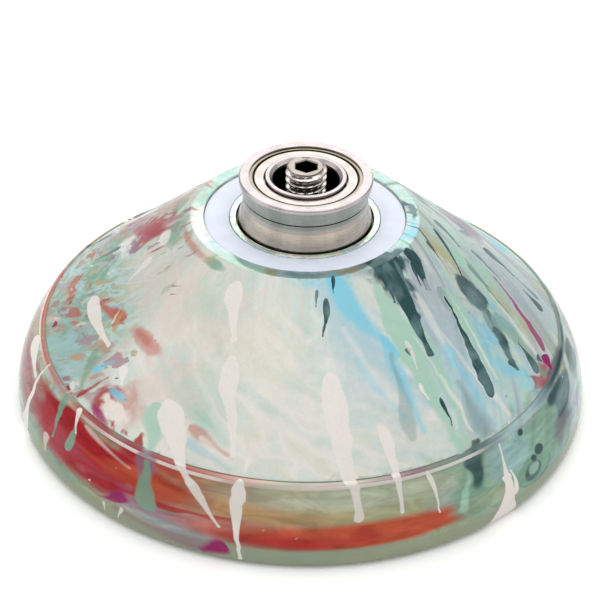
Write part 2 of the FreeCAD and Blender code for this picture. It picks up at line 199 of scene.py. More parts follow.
class BearingSizes(PropertyGroup):
    """The ball bearing's rings. Heights are from its middle, the same above and below."""

    middle: length("Middle", "Height of the bearing's middle", 21.981)
    half_width: length("Half width", "From the middle to a face", 2.381)
    outer: length("Outer radius", "Radius at the faces", reach_of("outer_race"))
    track: length("Track radius", "Radius at the bottom of the string track", 5.95)
    track_half: length("Track half width", "Half of the track's flat bottom", 0.475)
    track_edge: length("Track edge", "Where the track's slope reaches full size", 2.011)
    edge_break: length("Edge break", "Chamfer of the outer edges", 0.12)
    seat: length("Shield seat radius", "Wall that holds a shield", 5.3825)
    slot: length("Slot radius", "Bottom of the snap ring's slot", 5.5025)
    slot_mouth: length("Slot mouth", "Side of the slot next to the face", 2.231)
    slot_floor: length("Slot floor", "Side of the slot next to the shield", 2.031)
    ledge: length("Ledge", "Height of the ledge under a shield", 1.851)
    outer_land: length("Outer land radius", "Inside of the outer race", 5.1925)
    raceway_edge: length("Raceway edge", "Where both raceways start", 0.7026)
    raceway: length("Raceway depth radius", "Bottom of the outer raceway", 5.5862)
    inner_land: length("Inner land radius", "Outside of the inner race", 4.3325)
    inner_raceway: length("Inner raceway radius", "Bottom of the inner raceway", 3.9388)
    raceway_bow: length("Raceway bow", "Radius of both raceways' arcs", 0.82375)
    bore: length("Bore radius", "Bore of the inner race", 3.175)
    bore_chamfer: length("Bore chamfer", "Chamfer at the bore's ends", 0.3)
    face: length("Inner face radius", "Outer edge of the inner race's face", 3.85)
    step: length("Inner step", "Height where the inner race steps in", 1.631)
    shield_outer: length("Shield outer radius", "Edge of a shield's flange", 5.3625)
    shield_fold: length("Shield fold radius", "Where the flange ends", 4.9625)
    shield_web: length("Shield web radius", "Where the raised web starts", 4.8425)
    shield_inner: length("Shield inner radius", "Hole of a shield", 4.0)
    shield_rise: length("Shield rise", "How far the web stands over the flange", 0.12)
    snap_inner: length("Snap ring inner radius", "Inside of a snap ring", 5.0625)
    snap_outer: length("Snap ring outer radius", "Outside of a snap ring", 5.4825)
    snap_thickness: length("Snap ring thickness", "Thickness of a snap ring", 0.18)
    snap_opening: angle("Snap ring opening", "Gap between a snap ring's ends", 12.0)
    fine_break: length("Fine break", "The small break on every ground edge", 0.04)


class DyeColours(PropertyGroup):
    """The dyes of the splash finish."""

    pearl: colour("Pearl", "Ground of the whole finish", 208, 213, 205)
    mist: colour("Mist", "Cool tint in the ground", 188, 203, 195)
    blush: colour("Blush", "Warm tint in the ground", 213, 196, 186)
    straw: colour("Straw", "Yellow tint in the ground", 212, 211, 197)
    cream: colour("Cream", "Opaque runs over the rest", 226, 220, 213)
    sage: colour("Sage", "Grey-green runs and patches", 118, 156, 134)
    mint: colour("Mint", "Pale green streaks", 160, 196, 178)
    moss: colour("Moss", "Yellow-green streaks", 172, 170, 130)
    slate: colour("Slate", "Dark green runs", 34, 68, 70)
    smoke: colour("Smoke", "Thin dark dye", 112, 138, 140)
    cyan: colour("Cyan", "Bright blue streaks", 112, 194, 216)
    sky: colour("Sky", "Pale blue washes", 160, 192, 202)
    lilac: colour("Lilac", "Pale violet washes", 166, 174, 182)
    rose: colour("Rose", "Pink-red patches", 156, 66, 78)
    brick: colour("Brick", "Dusty red smears", 184, 108, 94)
    red: colour("Red", "Strong red on the rim", 158, 32, 40)
    orange: colour("Orange", "Orange-red on the rim", 180, 80, 54)
    ochre: colour("Ochre", "Yellow-brown on the rim", 186, 144, 100)
    magenta: colour("Magenta", "Purple-red streaks and spots", 146, 20, 94)
    plum: colour("Plum", "Greyed purple", 138, 106, 122)
    # Umber is a rim dye and also the painted shade in the crease above the bead
    umber_and_crease_shade: colour("Umber", "Dark crease beside the bead", 88, 70, 62)
    foot: colour("Foot", "Grey-green edge at the floor", 146, 155, 133)


class MetalColours(PropertyGroup):
    """The bare metals and the pad."""

    race: colour("Race steel", "Ground faces of both races", 184, 176, 175)
    # The track's two tones are painted shade on the upper slope and painted reflection on the lower slope
    upper_track_shade: colour("Upper track", "String track's upper slope", 178, 179, 166)
    lower_track_reflection: colour("Lower track", "String track's lower slope", 208, 196, 183)
    shield: colour("Shield steel", "Pressed shields", 183, 174, 169)
    spring: colour("Spring steel", "Snap rings", 150, 141, 122)
    axle: colour("Axle steel", "Thread of the set screw", 206, 198, 192)
    # The end face's colour is painted shade, darker than the thread's
    axle_end_shade: colour("Axle end", "Face round the screw's socket", 156, 147, 139)
    cage: colour("Cage steel", "Ball cage", 190, 176, 148)
    ball: colour("Ball steel", "Bearing balls", 224, 224, 226)
    silicone: colour("Silicone", "Response pad", 216, 223, 236)


class StageSettings(PropertyGroup):
    """Where the camera stands and how the studio is lit."""

    camera_side: length("Camera side", "Camera, across from the axle", -0.272)
    camera_front: length("Camera front", "Camera, in front of the axle", 180.544)
    camera_height: length("Camera height", "Camera, above the floor", 135.357)
    camera_tilt: angle("Camera tilt", "How far the camera looks down", 34.751)
    camera_roll: angle("Camera roll", "How far the camera leans", 1.4745)
    lens: length("Lens", "Focal length on a 36 mm sensor", 135.0)
    floor_size: length("Floor size", "Side of the floor", 6000.0)
    floor: colour("Floor", "Plain pale floor", 252, 252, 251)


class Wash(NamedTuple):
    """A patch of dye: degrees round from the front, millimetres down from the ring's edge."""

    dye: str
    turn: float
    drop: float
    half_turn: float
    half_drop: float
    lean: float = 0.0
    edge: float = 0.35
    strength: float = 1.0
    ragged: float = 1.0

    def moved(self, degrees):
        return self._replace(turn=self.turn + degrees)


class Run(NamedTuple):
    """A run of dye from its wide head to its thin tail, in the same measures as a patch."""

    dye: str
    turn: float
    drop: float
    to_turn: float
    to_drop: float
    half_width: float
    edge: float = 0.08
    strength: float = 1.0
    seam: float = 0.0

    def moved(self, degrees):
        return self._replace(turn=self.turn + degrees, to_turn=self.to_turn + degrees)


class Spatter(NamedTuple):
    """Drops of many dyes over a zone: how many cells to a millimetre, and the drops' shape in them."""

    zone: str
    cells: float
    stretch: tuple
    push: float
    smallest: float
    largest: float
    edge: float
    strength: float
    dyes: tuple


# One degree round the shell counts as this many millimetres on the chart
CHART_STEP = 0.35


class Band(NamedTuple):
    """A dyed band of the shell: its reach on the chart, how the dye lies there, and its surface."""

    start: float
    end: float
    sectors: dict
    ground: tuple
    streak: tuple
    drift: tuple
    stir: float
    depth: float
    cover: float
    shade: float
    gloss: tuple
    grain: float
    metal: float
    coat: float


# The bands are cut into sectors, so that each material paints only what falls on it
CONE_SECTORS = {
    "far_left": (-125, -88),
    "left": (-88, -58),
    "front_left": (-58, -20),
    "front": (-20, 28),
    "right": (28, 48),
    "far_right": (48, 68),
    "side": (68, 90),
    "far_side": (90, 125),
    "back_right": (125, 180),
    "back_left": (180, 235),
}
RIM_SECTORS = {
    "left": (-125, -45),
    "front_left": (-45, -10),
    "front": (-10, 35),
    "right": (35, 75),
    "side": (75, 125),
    "back": (125, 235),
}
ALL_ROUND = {"round": (-180, 180)}

# From the ring's edge down, in millimetres; the dye runs down the cone and round the rim
DOWN = (1.0, 1.0, 0.3)
EVEN = (1.0, 1.0, 1.0)
ROUND = (0.4, 0.4, 1.0)
BANDS = {
    "ring": Band(
        start=-1.3,
        end=0.0,
        sectors=ALL_ROUND,
        ground=("mint", "sky", "straw"),
        streak=ROUND,
        drift=ROUND,
        stir=0.3,
        depth=0.25,
        cover=0.9,
        shade=0.85,
        gloss=(0.1, 0.18),
        grain=0.02,
        metal=0.45,
        coat=0.2,
    ),
    "cone": Band(
        start=0.0,
        end=18.7,
        sectors=CONE_SECTORS,
        ground=("pearl", "mist", "blush"),
        streak=DOWN,
        drift=EVEN,
        stir=0.5,
        depth=0.12,
        cover=0.88,
        shade=1.0,
        gloss=(0.38, 0.52),
        grain=0.3,
        metal=0.3,
        coat=0.0,
    ),
    "rim": Band(
        start=18.7,
        end=28.0,
        sectors=RIM_SECTORS,
        ground=("moss", "sage", "smoke"),
        streak=ROUND,
        drift=ROUND,
        stir=0.22,
        depth=0.55,
        cover=1.0,
        shade=0.95,
        gloss=(0.1, 0.18),
        grain=0.02,
        metal=0.12,
        coat=0.0,
    ),
}
# The even dye along the foot: where it starts, how soft and wavy its edge is, and its strength
FOOT_START = 25.4
FOOT_SOFT, FOOT_WAVE, FOOT_STRENGTH = 0.2, 0.25, 0.8

# The bead, its pale line of painted highlight and its dark crease of painted shade: their middles and half
# widths
BEAD_MIDDLE, BEAD_HALF = 19.2, 0.5
HIGHLIGHT_MIDDLE, HIGHLIGHT_HALF = 19.42, 0.2
CREASE_MIDDLE, CREASE_HALF = 18.74, 0.14
CREASE_STRENGTH = 0.6
# Between two turns the painted highlight line fades, from all of it to a part
HIGHLIGHT_FADE = (36.0, 44.0, 1.0, 0.3)
# The bead's dyes, at even steps from the first turn to the last
BEAD_TURNS = (-125.0, 235.0)
BEAD_DYES = (
    "ochre brick brick brick brick rose rose brick blush blush plum slate sky "
    "slate slate smoke sage moss mint brick sage moss brick sage ochre"
).split()

# Broad tints first, then patches with clearer edges
WASHES = (
    Wash("blush", -52, 5.0, 34, 4.2, edge=0.8, strength=0.55),
    Wash("mint", -40, 3.8, 8, 2.0, edge=0.8, strength=0.45),
    Wash("straw", -15, 6.5, 9, 3.0, edge=0.9, strength=0.4),
    Wash("mint", -26, 11.0, 7, 3.0, edge=0.9, strength=0.25),
    Wash("mist", 3, 8.5, 5, 2.6, lean=-20, edge=0.9, strength=0.4),
    Wash("blush", -37, 13.0, 9, 2.6, edge=0.8, strength=0.65),
    Wash("sage", -76, 16.2, 18, 3.0, edge=0.6, strength=0.55),
    Wash("sky", 19, 6.0, 10, 8.0, lean=12, edge=0.8, strength=0.5),
    Wash("cyan", 8, 0.4, 11, 0.5, edge=0.7, strength=0.5, ragged=0.3),
    Wash("sky", 49, 12.0, 11, 6.0, edge=0.6, strength=0.7),
    Wash("lilac", 55, 6.0, 9, 4.5, edge=0.7, strength=0.7),
    Wash("cyan", 62, 14.0, 3.0, 4.5, lean=10, edge=0.6, strength=0.65, ragged=0.6),
    Wash("cyan", 72, 11.0, 1.6, 2.6, edge=0.5, strength=0.6),
    Wash("lilac", 96, 13.0, 14, 6.0, edge=0.6, strength=0.6),
    Wash("smoke", 80, 9.0, 16, 6.5, edge=0.9, strength=0.26, ragged=0.4),
    Wash("moss", 77, 3.4, 4, 3.0, lean=-25, edge=0.5, strength=0.75),
    Wash("mint", 86, 8.0, 4, 5.0, lean=-25, edge=0.5, strength=0.8),
    Wash("moss", 81, 12.5, 3, 3.5, lean=-20, edge=0.5, strength=0.7),
    Wash("rose", -114, 10.0, 9, 4.6, edge=0.8, strength=0.6),
    Wash("brick", -111, 3.6, 10, 2.8, edge=0.7, strength=0.55),
    Wash("smoke", -103, 8.0, 18, 6.0, edge=0.9, strength=0.2, ragged=0.4),
    Wash("rose", -101, 5.6, 10, 2.6, lean=25, edge=0.4, strength=0.9),
    Wash("red", -98, 5.0, 6, 0.8, lean=28, edge=0.5, strength=0.5),
    Wash("rose", -92, 3.0, 7, 1.6, edge=0.4, strength=0.7),
    Wash("sage", -102, 2.0, 7, 0.9, lean=20, edge=0.5, strength=0.7),
    Wash("cream", -97, 8.8, 5, 0.9, lean=25, edge=0.4, strength=0.75, ragged=0.6),
    Wash("plum", -93, 7.4, 3.2, 0.5, lean=35, edge=0.4, strength=0.85),
    Wash("sage", -97, 12.0, 10, 2.0, edge=0.4, strength=0.85, ragged=0.6),
    Wash("sage", -82, 1.8, 9, 1.5, edge=0.5, strength=0.75),
    Wash("cream", -84.5, 3.3, 4.4, 0.8, edge=0.25, strength=0.8, ragged=0.3),
    Wash("sage", -46, 0.8, 6.0, 0.5, edge=0.3, strength=0.8, ragged=0.2),
    Wash("brick", -66, 0.9, 14, 0.35, edge=0.6, strength=0.65, ragged=0.2),
    Wash("brick", -50.5, 10.3, 7.5, 0.8, lean=-6, edge=0.25, strength=0.6, ragged=0.3),
    Wash("orange", -51, 10.2, 4.0, 0.4, lean=-6, edge=0.6, strength=0.5, ragged=0.3),
    Wash("orange", -92, 15.6, 4.4, 0.9, edge=0.4, strength=0.8, ragged=0.6),
    Wash("sky", -70, 17.2, 9, 1.6, edge=0.6, strength=0.5),
    Wash("brick", -45, 16.4, 8, 1.7, edge=0.6, strength=0.6, ragged=0.5),
    Wash("red", -49.5, 16.6, 4.4, 1.6, edge=0.3, strength=0.85, ragged=0.4),
    Wash("cyan", -47.5, 15.8, 3.2, 0.4, edge=0.5, strength=0.75, ragged=0.3),
    Wash("cream", -44, 17.1, 5.2, 0.8, lean=-12, edge=0.35, strength=0.9, ragged=0.4),
    Wash("magenta", -48, 18.3, 3.4, 0.4, lean=-14, edge=0.4, strength=0.85, ragged=0.3),
    Wash("ochre", -88, 20.4, 12, 1.6, edge=0.5, strength=0.6),
    Wash("sage", -66, 23.0, 12, 3.0, edge=0.4, strength=0.6),
    Wash("rose", -78, 22.4, 12, 2.2, edge=0.5, strength=0.8),
    Wash("umber_and_crease_shade", -88, 22.8, 9, 3.0, edge=0.8, strength=0.35),
    Wash("red", -45, 21.8, 27, 2.9, edge=0.25),
    Wash("rose", -56, 23.6, 7, 1.4, lean=10, edge=0.6, strength=0.5),
    Wash("orange", -30, 21.9, 9, 0.9, lean=-6, edge=0.6, strength=0.7),
    Wash("orange", -18, 21.0, 15, 1.7, edge=0.5, strength=0.6),
    Wash("moss", -2, 20.8, 14, 1.3, edge=0.6, strength=0.7),
    Wash("ochre", -2, 22.0, 15, 1.0, edge=0.6, strength=0.8),
    Wash("moss", 22, 21.4, 18, 2.1, edge=0.5, strength=0.8),
    Wash("mist", 12, 20.6, 22, 0.9, edge=0.7, strength=0.4, ragged=0.3),
    Wash("sky", 31, 22.0, 4, 1.4, edge=0.8, strength=0.35),
    Wash("lilac", -24, 24.6, 16, 0.9, edge=0.5, strength=0.6),
    Wash("plum", -24, 24.2, 15, 0.6, edge=0.5, strength=0.7),
    Wash("magenta", -37, 24.2, 6, 0.4, lean=16, edge=0.35, strength=0.9, ragged=0.5),
    Wash("red", -20, 23.0, 11, 0.35, lean=-2, edge=0.4, strength=0.9),
    Wash("brick", -9, 23.9, 14, 1.1, edge=0.5, strength=0.85, ragged=0.3),
    Wash("orange", 13, 24.0, 25.5, 1.25, lean=1, edge=0.3, ragged=0.3),
    Wash("red", -3, 24.6, 12, 0.7, edge=0.6, strength=0.75, ragged=0.3),
    Wash("red", 14, 24.1, 3, 1.0, edge=0.4, strength=0.5),
    Wash("sage", 37, 22.8, 4.5, 2.6, edge=0.4, strength=0.8),
    Wash("mint", 36, 23.0, 1.2, 1.6, lean=-8, edge=0.4, strength=0.7),
    Wash("moss", 46, 25.0, 6, 1.4, edge=0.6, strength=0.5),
    Wash("sage", 58, 22.6, 15, 4.2, edge=0.4, strength=0.7),
    # Painted shade: this smoke patch darkens the low right of the rim near the floor
    Wash("smoke", 57, 25.6, 9, 1.6, edge=0.7, strength=0.5),
    Wash("sky", 49, 21.6, 4.5, 2.0, edge=0.5, strength=0.4, ragged=0.6),
    Wash("plum", 66, 22.2, 3.4, 1.8, edge=0.5, strength=0.7),
    Wash("lilac", 75, 23.0, 5, 2.4, edge=0.5, strength=0.7),
    Wash("slate", 67, 21.8, 5.0, 2.6, edge=0.6, strength=0.6),
    Wash("slate", 40.5, 20.6, 2.2, 2.2, edge=0.3, strength=0.9),
    Wash("slate", 52.4, 24.2, 5.8, 1.3, edge=0.06, strength=0.9, ragged=0.2),
    Wash("sage", 52.2, 24.0, 6.0, 1.35, edge=0.1, strength=0.95, ragged=0.2),
    Wash("slate", 51.4, 24.1, 2.8, 0.9, edge=0.12, strength=0.85, ragged=0.2),
    Wash("mint", 51.7, 23.9, 1.8, 0.55, edge=0.25, strength=0.8, ragged=0.2),
    Wash("slate", 52, 20.0, 0.8, 0.3, edge=0.2, ragged=0.1),
    Wash("slate", 55, 22.6, 1.4, 0.55, edge=0.2, ragged=0.1),
    Wash("slate", 52.6, 23.0, 0.8, 0.4, edge=0.2, ragged=0.1),
    Wash("slate", 68.5, 20.6, 7.5, 1.3, edge=0.12, ragged=0.5),
    Wash("slate", 73, 18.9, 8, 0.6, edge=0.4, strength=0.85, ragged=0.2),
    Wash("slate", 83, 20.8, 4, 1.6, edge=0.3, strength=0.9),
    Wash("slate", 96, 22.4, 8, 2.4, edge=0.4, strength=0.7),
    Wash("slate", 44, 0.4, 12, 1.4, edge=0.3),
    Wash("slate", 45, 2.4, 5.5, 2.6, lean=8, edge=0.35, strength=0.95),
    Wash("smoke", 47, 1.6, 1.2, 2.4, lean=12, edge=0.5, strength=0.6),
    Wash("slate", 71.8, 7.7, 4.8, 2.2, lean=-14, edge=0.12, strength=0.9, ragged=0.25),
    Wash("rose", 70, 18.0, 5, 0.6, edge=0.4, strength=0.8, ragged=0.5),
    Wash("cream", -75, -0.6, 25, 0.9, edge=0.6, strength=0.7),
    Wash("moss", -16, -0.6, 5, 0.5, edge=0.4, strength=0.8),
    Wash("smoke", 1, -0.6, 9, 0.6, edge=0.5, strength=0.6),
    Wash("smoke", 36, -0.5, 16, 0.9, edge=0.5, strength=0.8),
    Wash("slate", 44, -0.3, 9, 0.5, edge=0.5, strength=0.7),
    Wash("cyan", 78, -0.6, 10, 0.6, edge=0.5, strength=0.6),
    Wash("ochre", 18, -0.6, 9, 0.4, edge=0.5, strength=0.6),
    Wash("slate", 98, -0.6, 7, 0.4, edge=0.3, strength=0.9),
)

# Later runs lie over earlier ones
RUNS = (
    Run("sky", 9, -0.5, 34, 14.0, 2.4, edge=2.2, strength=0.5),
    Run("cyan", 12, -0.8, 31.5, 8.6, 1.5, edge=1.1, strength=0.75),
    Run("cyan", 28, 6.0, 29.5, 16.0, 0.7, edge=0.7, strength=0.6),
    Run("cream", 25, 13.0, 15, 4.6, 0.8, edge=0.9, strength=0.45),
    Run("cyan", 17, 7.4, 26, 14.2, 0.45, edge=0.6, strength=0.35),
    Run("pearl", 49.5, 3.6, 46.5, 12.0, 0.5, edge=0.5, strength=0.7),
    Run("cyan", 47.5, 9.0, 46.6, 18.4, 0.45, edge=0.5, strength=0.5),
    Run("smoke", 44.5, 18.6, 43.6, 12.6, 0.8, edge=0.8, strength=0.5),
    Run("cream", 52, 18.4, 49, 8.0, 0.3, edge=0.4, strength=0.5),
    Run("mint", 33.5, 1.2, 36.5, 19.0, 1.5, edge=0.6, strength=0.85),
    Run("mint", 42.5, 4.0, 38.5, 18.6, 1.0, edge=0.5, strength=0.85),
    Run("mint", 62, 5.0, 55, 16.0, 1.0, edge=0.5, strength=0.85),
    Run("sage", 72.6, 10.6, 69.5, 18.6, 1.0, edge=0.5, strength=0.6),
    Run("moss", 78.5, 1.4, 75.5, 6.0, 0.8, edge=0.5, strength=0.7),
    Run("mint", 84, 2.4, 76, 12.0, 0.8, edge=0.5, strength=0.8),
    Run("cream", 41.5, 17.6, 38.6, 7.0, 0.2, edge=0.3, strength=0.6),
    Run("cream", 55.4, 15.0, 62.6, 6.0, 0.16, edge=0.3, strength=0.6),
    Run("cream", 72.4, 16.8, 83, 6.0, 0.25, edge=0.3, strength=0.5),
    Run("ochre", 75, 1.2, 70.5, 5.0, 0.4, edge=0.4, strength=0.6),
    Run("sage", -63, 14.0, -56.5, 19.0, 0.5, edge=0.5, strength=0.65),
    Run("sage", -60, 18.8, -57.5, 23.4, 0.4, edge=0.2, strength=0.85),
    Run("rose", -60, 22.5, -30, 22.9, 0.4, edge=0.5, strength=0.5),
    Run("orange", -22, 22.3, -52, 21.8, 0.45, edge=0.5, strength=0.6),
    Run("cream", -50, 19.9, -34, 21.1, 0.22, edge=0.3, strength=0.5),
    Run("sage", -51.5, 23.2, -53, 19.8, 0.35, edge=0.15, seam=0.3),
    Run("mint", -36.0, 14.4, -32, 19.4, 0.95, edge=0.5, strength=0.8),
    Run("plum", -32.5, 18.8, -29.5, 23.0, 0.9, edge=0.4, strength=0.7),
    Run("sage", -28.5, 24.2, -31.5, 19.6, 0.85, edge=0.3, strength=0.85),
    Run("smoke", 25.6, 16.4, 28.8, 7.8, 0.7, edge=0.4, strength=0.4),
    Run("slate", 43.5, -2.6, 43.5, 6.2, 3.0, edge=0.3),
    Run("slate", 45.0, 1.0, 40.5, 9.7, 1.4),
    Run("smoke", 48.6, 0.2, 46.8, 4.6, 0.4, edge=0.4, strength=0.6),
    Run("slate", 40.5, 0.6, 38.2, 3.8, 0.5),
    Run("slate", 61.5, 0.0, 55.5, 4.4, 1.3),
    Run("slate", 57, 1.2, 53.6, 3.6, 0.4),
    Run("lilac", 58, 3.2, 53.5, 7.2, 0.6, edge=0.5, strength=0.7),
    Run("smoke", 60.5, 4.6, 56, 9.0, 0.6, edge=0.5, strength=0.5),
    Run("slate", 50.4, 15.9, 60, 5.6, 0.6, seam=0.5),
    Run("slate", 10, 1.8, 7.2, 5.5, 0.45),
    Run("slate", 6.5, 1.0, 5.4, 2.7, 0.25, edge=0.15, strength=0.8),
    Run("slate", 14.5, -0.3, 13.2, 1.5, 0.3),
    Run("slate", 70.8, 9.8, 68.6, 11.2, 0.3),
    Run("slate", 66.5, 11.4, 66.0, 11.9, 0.35, seam=0.4),
    Run("smoke", 70, 9.6, 64.5, 14.6, 0.9, edge=0.4, strength=0.7),
    Run("slate", 68, 11.2, 63.5, 15.8, 0.6, edge=0.25, strength=0.95),
    Run("slate", 64.4, 14.4, 63.4, 15.6, 0.45),
    Run("slate", 90, 1.8, 75, 6.2, 0.45),
    Run("slate", 76, 1.2, 72.5, 3.2, 0.3),
    Run("smoke", 84, 6.2, 78, 12.2, 0.4, edge=0.3, strength=0.8),
    Run("slate", 34.2, 8.0, 34.0, 8.8, 0.32, edge=0.12, strength=0.85),
    Run("slate", 37.2, 13.3, 36.4, 16.2, 0.2),
    Run("slate", 68.4, 17.6, 70.5, 14.2, 0.45, seam=0.4),
    Run("slate", 72.5, 16.6, 73, 17.4, 0.35),
    Run("slate", 92, 16.8, 95, 14.2, 0.5),
    Run("smoke", 96, 16.6, 100, 13.0, 0.3),
    Run("slate", 105, 9.6, 99, 13.4, 0.7, seam=0.3),
    Run("smoke", 99, 2.2, 92, 5.4, 0.6, edge=0.3),
    Run("smoke", 96, 7.0, 91, 11.0, 0.4, edge=0.3),
    Run("magenta", 76.5, 17.4, 90, 9.8, 0.45, edge=0.2, strength=0.85),
    Run("magenta", 75.5, 17.2, 73, 18.8, 0.6, edge=0.2),
    Run("magenta", -83.2, 17.2, -82.6, 17.9, 0.38),
    Run("slate", -87, 15.3, -86.6, 15.8, 0.2),
    Run("orange", -63, 10.1, -79, 12.2, 0.65, edge=0.5, strength=0.8),
    Run("ochre", -63.5, 11.9, -67, 9.8, 0.4, edge=0.3, strength=0.7),
    Run("straw", -66, 11.6, -68.5, 10.0, 0.18, edge=0.15, strength=0.8),
    Run("brick", -27, 15.3, -15.5, 17.1, 0.55, edge=0.5, strength=0.6),
    Run("sky", -27, 16.5, -14, 18.3, 0.45, edge=0.5, strength=0.55),
    Run("cream", -24, 15.9, -13, 17.9, 0.3, edge=0.4, strength=0.6),
    Run("magenta", -57.5, 4.9, -53.5, 4.3, 0.09, strength=0.6),
    Run("magenta", -55.5, 5.5, -52.5, 5.1, 0.08, strength=0.6),
    Run("red", -57.5, 18.6, -53.5, 15.0, 0.25, edge=0.2, strength=0.8),
    Run("slate", -99.5, 9.6, -101.5, 13.4, 0.4, edge=0.3, strength=0.8),
    Run("plum", -14, 26.2, -38, 25.4, 0.75, edge=1.0, strength=0.65),
    Run("magenta", -12.8, 25.4, -18.4, 26.6, 0.75, edge=0.7, strength=0.95),
    Run("cyan", -59.0, 15.8, -55, 13.6, 0.38, edge=0.5, strength=0.75),
    Run("cream", -78, 5.0, -76.5, 8.2, 0.5, edge=0.3, strength=0.6),
    Run("cream", -82.5, 12.6, -60, 13.0, 0.85, edge=0.12, strength=0.88),
    Run("cream", -84, 20.0, -72, 21.2, 0.8, edge=0.15, strength=0.9),
    Run("cream", -31.5, 1.4, -22.3, 6.8, 1.25, edge=0.12, strength=0.8),
    Run("cream", -22.2, 7.9, -14.4, 17.2, 0.9, edge=0.12, strength=0.8),
    Run("cream", 8.2, 8.6, 12.0, 22.8, 1.15, edge=0.12, strength=0.85),
    Run("cream", 20, 13.9, 20.7, 22.6, 0.5, strength=0.9),
    Run("cream", -34.5, 13.8, -21.0, 20.6, 1.05, edge=0.12, strength=0.85),
    Run("cream", -22.4, 19.8, -14.2, 23.8, 0.36, edge=0.12, strength=0.85),
    Run("cream", -12.3, 18.9, -10.3, 27.0, 0.42),
    Run("cream", 27, 19.2, 28.3, 23.4, 0.2),
    Run("cream", -54, 18.9, -52, 21.2, 0.3),
    Run("cream", -71.5, 28.6, -71, 22.4, 0.9),
    Run("cream", -71, 24.0, -71, 18.9, 0.26),
    Run("cream", 42.3, 28.6, 44.8, 22.6, 1.2),
    Run("cream", 44.4, 24.6, 45.7, 19.6, 0.24),
    Run("cream", 46.0, 25.2, 46.2, 22.4, 0.22),
    Run("cream", 35.2, 7.3, 34.3, 10.2, 0.3, strength=0.6),
    Run("cream", 33, 11.4, 34.2, 13.2, 0.2),
    Run("cream", -10.4, 16.8, -11.4, 18.4, 0.22),
    Run("cream", -60, 23.5, -58.6, 25.4, 0.5, edge=0.3, strength=0.6),
    Run("cream", -35.6, 25.0, -36.4, 26.4, 0.16, strength=0.8),
    Run("cream", -40.0, 25.4, -39.6, 26.4, 0.12, strength=0.7),
    Run("cream", -52, 13.3, -48.5, 14.9, 0.55, edge=0.15, strength=0.9),
)

# Loose patches and runs on the back, thrown with a set seed: where, how many, and the dyes
BACK_SEED = 11
BACK_FIRST, BACK_LAST = 108.0, 242.0
BACK_WASHES, BACK_RUNS = 26, 34
BACK_DYES = "sage mint sky rose cyan lilac brick moss slate orange plum smoke".split()
BACK_RUN_DYES = "cream slate sage cream mint slate smoke cream magenta slate".split()

# Small drops; each zone is described further down
SPATTERS = (
    Spatter(
        zone="smears",
        cells=0.7,
        stretch=(1.0, 1.0, 0.3),
        push=0.8,
        smallest=0.15,
        largest=0.6,
        edge=0.25,
        strength=0.85,
        dyes=("rose", "slate", "cream", "plum", "sage", "sky", "red", "brick"),
    ),
    Spatter(
        zone="daubs",
        cells=0.7,
        stretch=(1.0, 1.0, 0.75),
        push=1.2,
        smallest=0.25,
        largest=1.0,
        edge=0.4,
        strength=0.75,
        dyes=("rose", "lilac", "moss", "brick", "cream", "sky", "rose", "plum", "ochre", "mint", "orange"),
    ),
    Spatter(
        zone="daubs",
        cells=1.1,
        stretch=(1.0, 1.0, 0.65),
        push=0.9,
        smallest=0.15,
        largest=0.75,
        edge=0.3,
        strength=0.75,
        dyes=("moss", "cream", "rose", "sky", "sage", "ochre", "lilac", "mint", "rose"),
    ),
    Spatter(
        zone="streaks",
        cells=0.6,
        stretch=(1.0, 1.0, 0.22),
        push=0.5,
        smallest=0.05,
        largest=0.4,
        edge=0.15,
        strength=0.75,
        dyes=("slate", "mint", "smoke", "cream", "moss", "lilac", "slate", "sage"),
    ),
    Spatter(
        zone="specks",
        cells=1.1,
        stretch=(1.0, 1.0, 0.8),
        push=0.2,
        smallest=0.02,
        largest=0.16,
        edge=0.04,
        strength=0.8,
        dyes=("cyan", "moss", "cream", "sky", "plum", "cream", "cyan", "slate"),
    ),
)


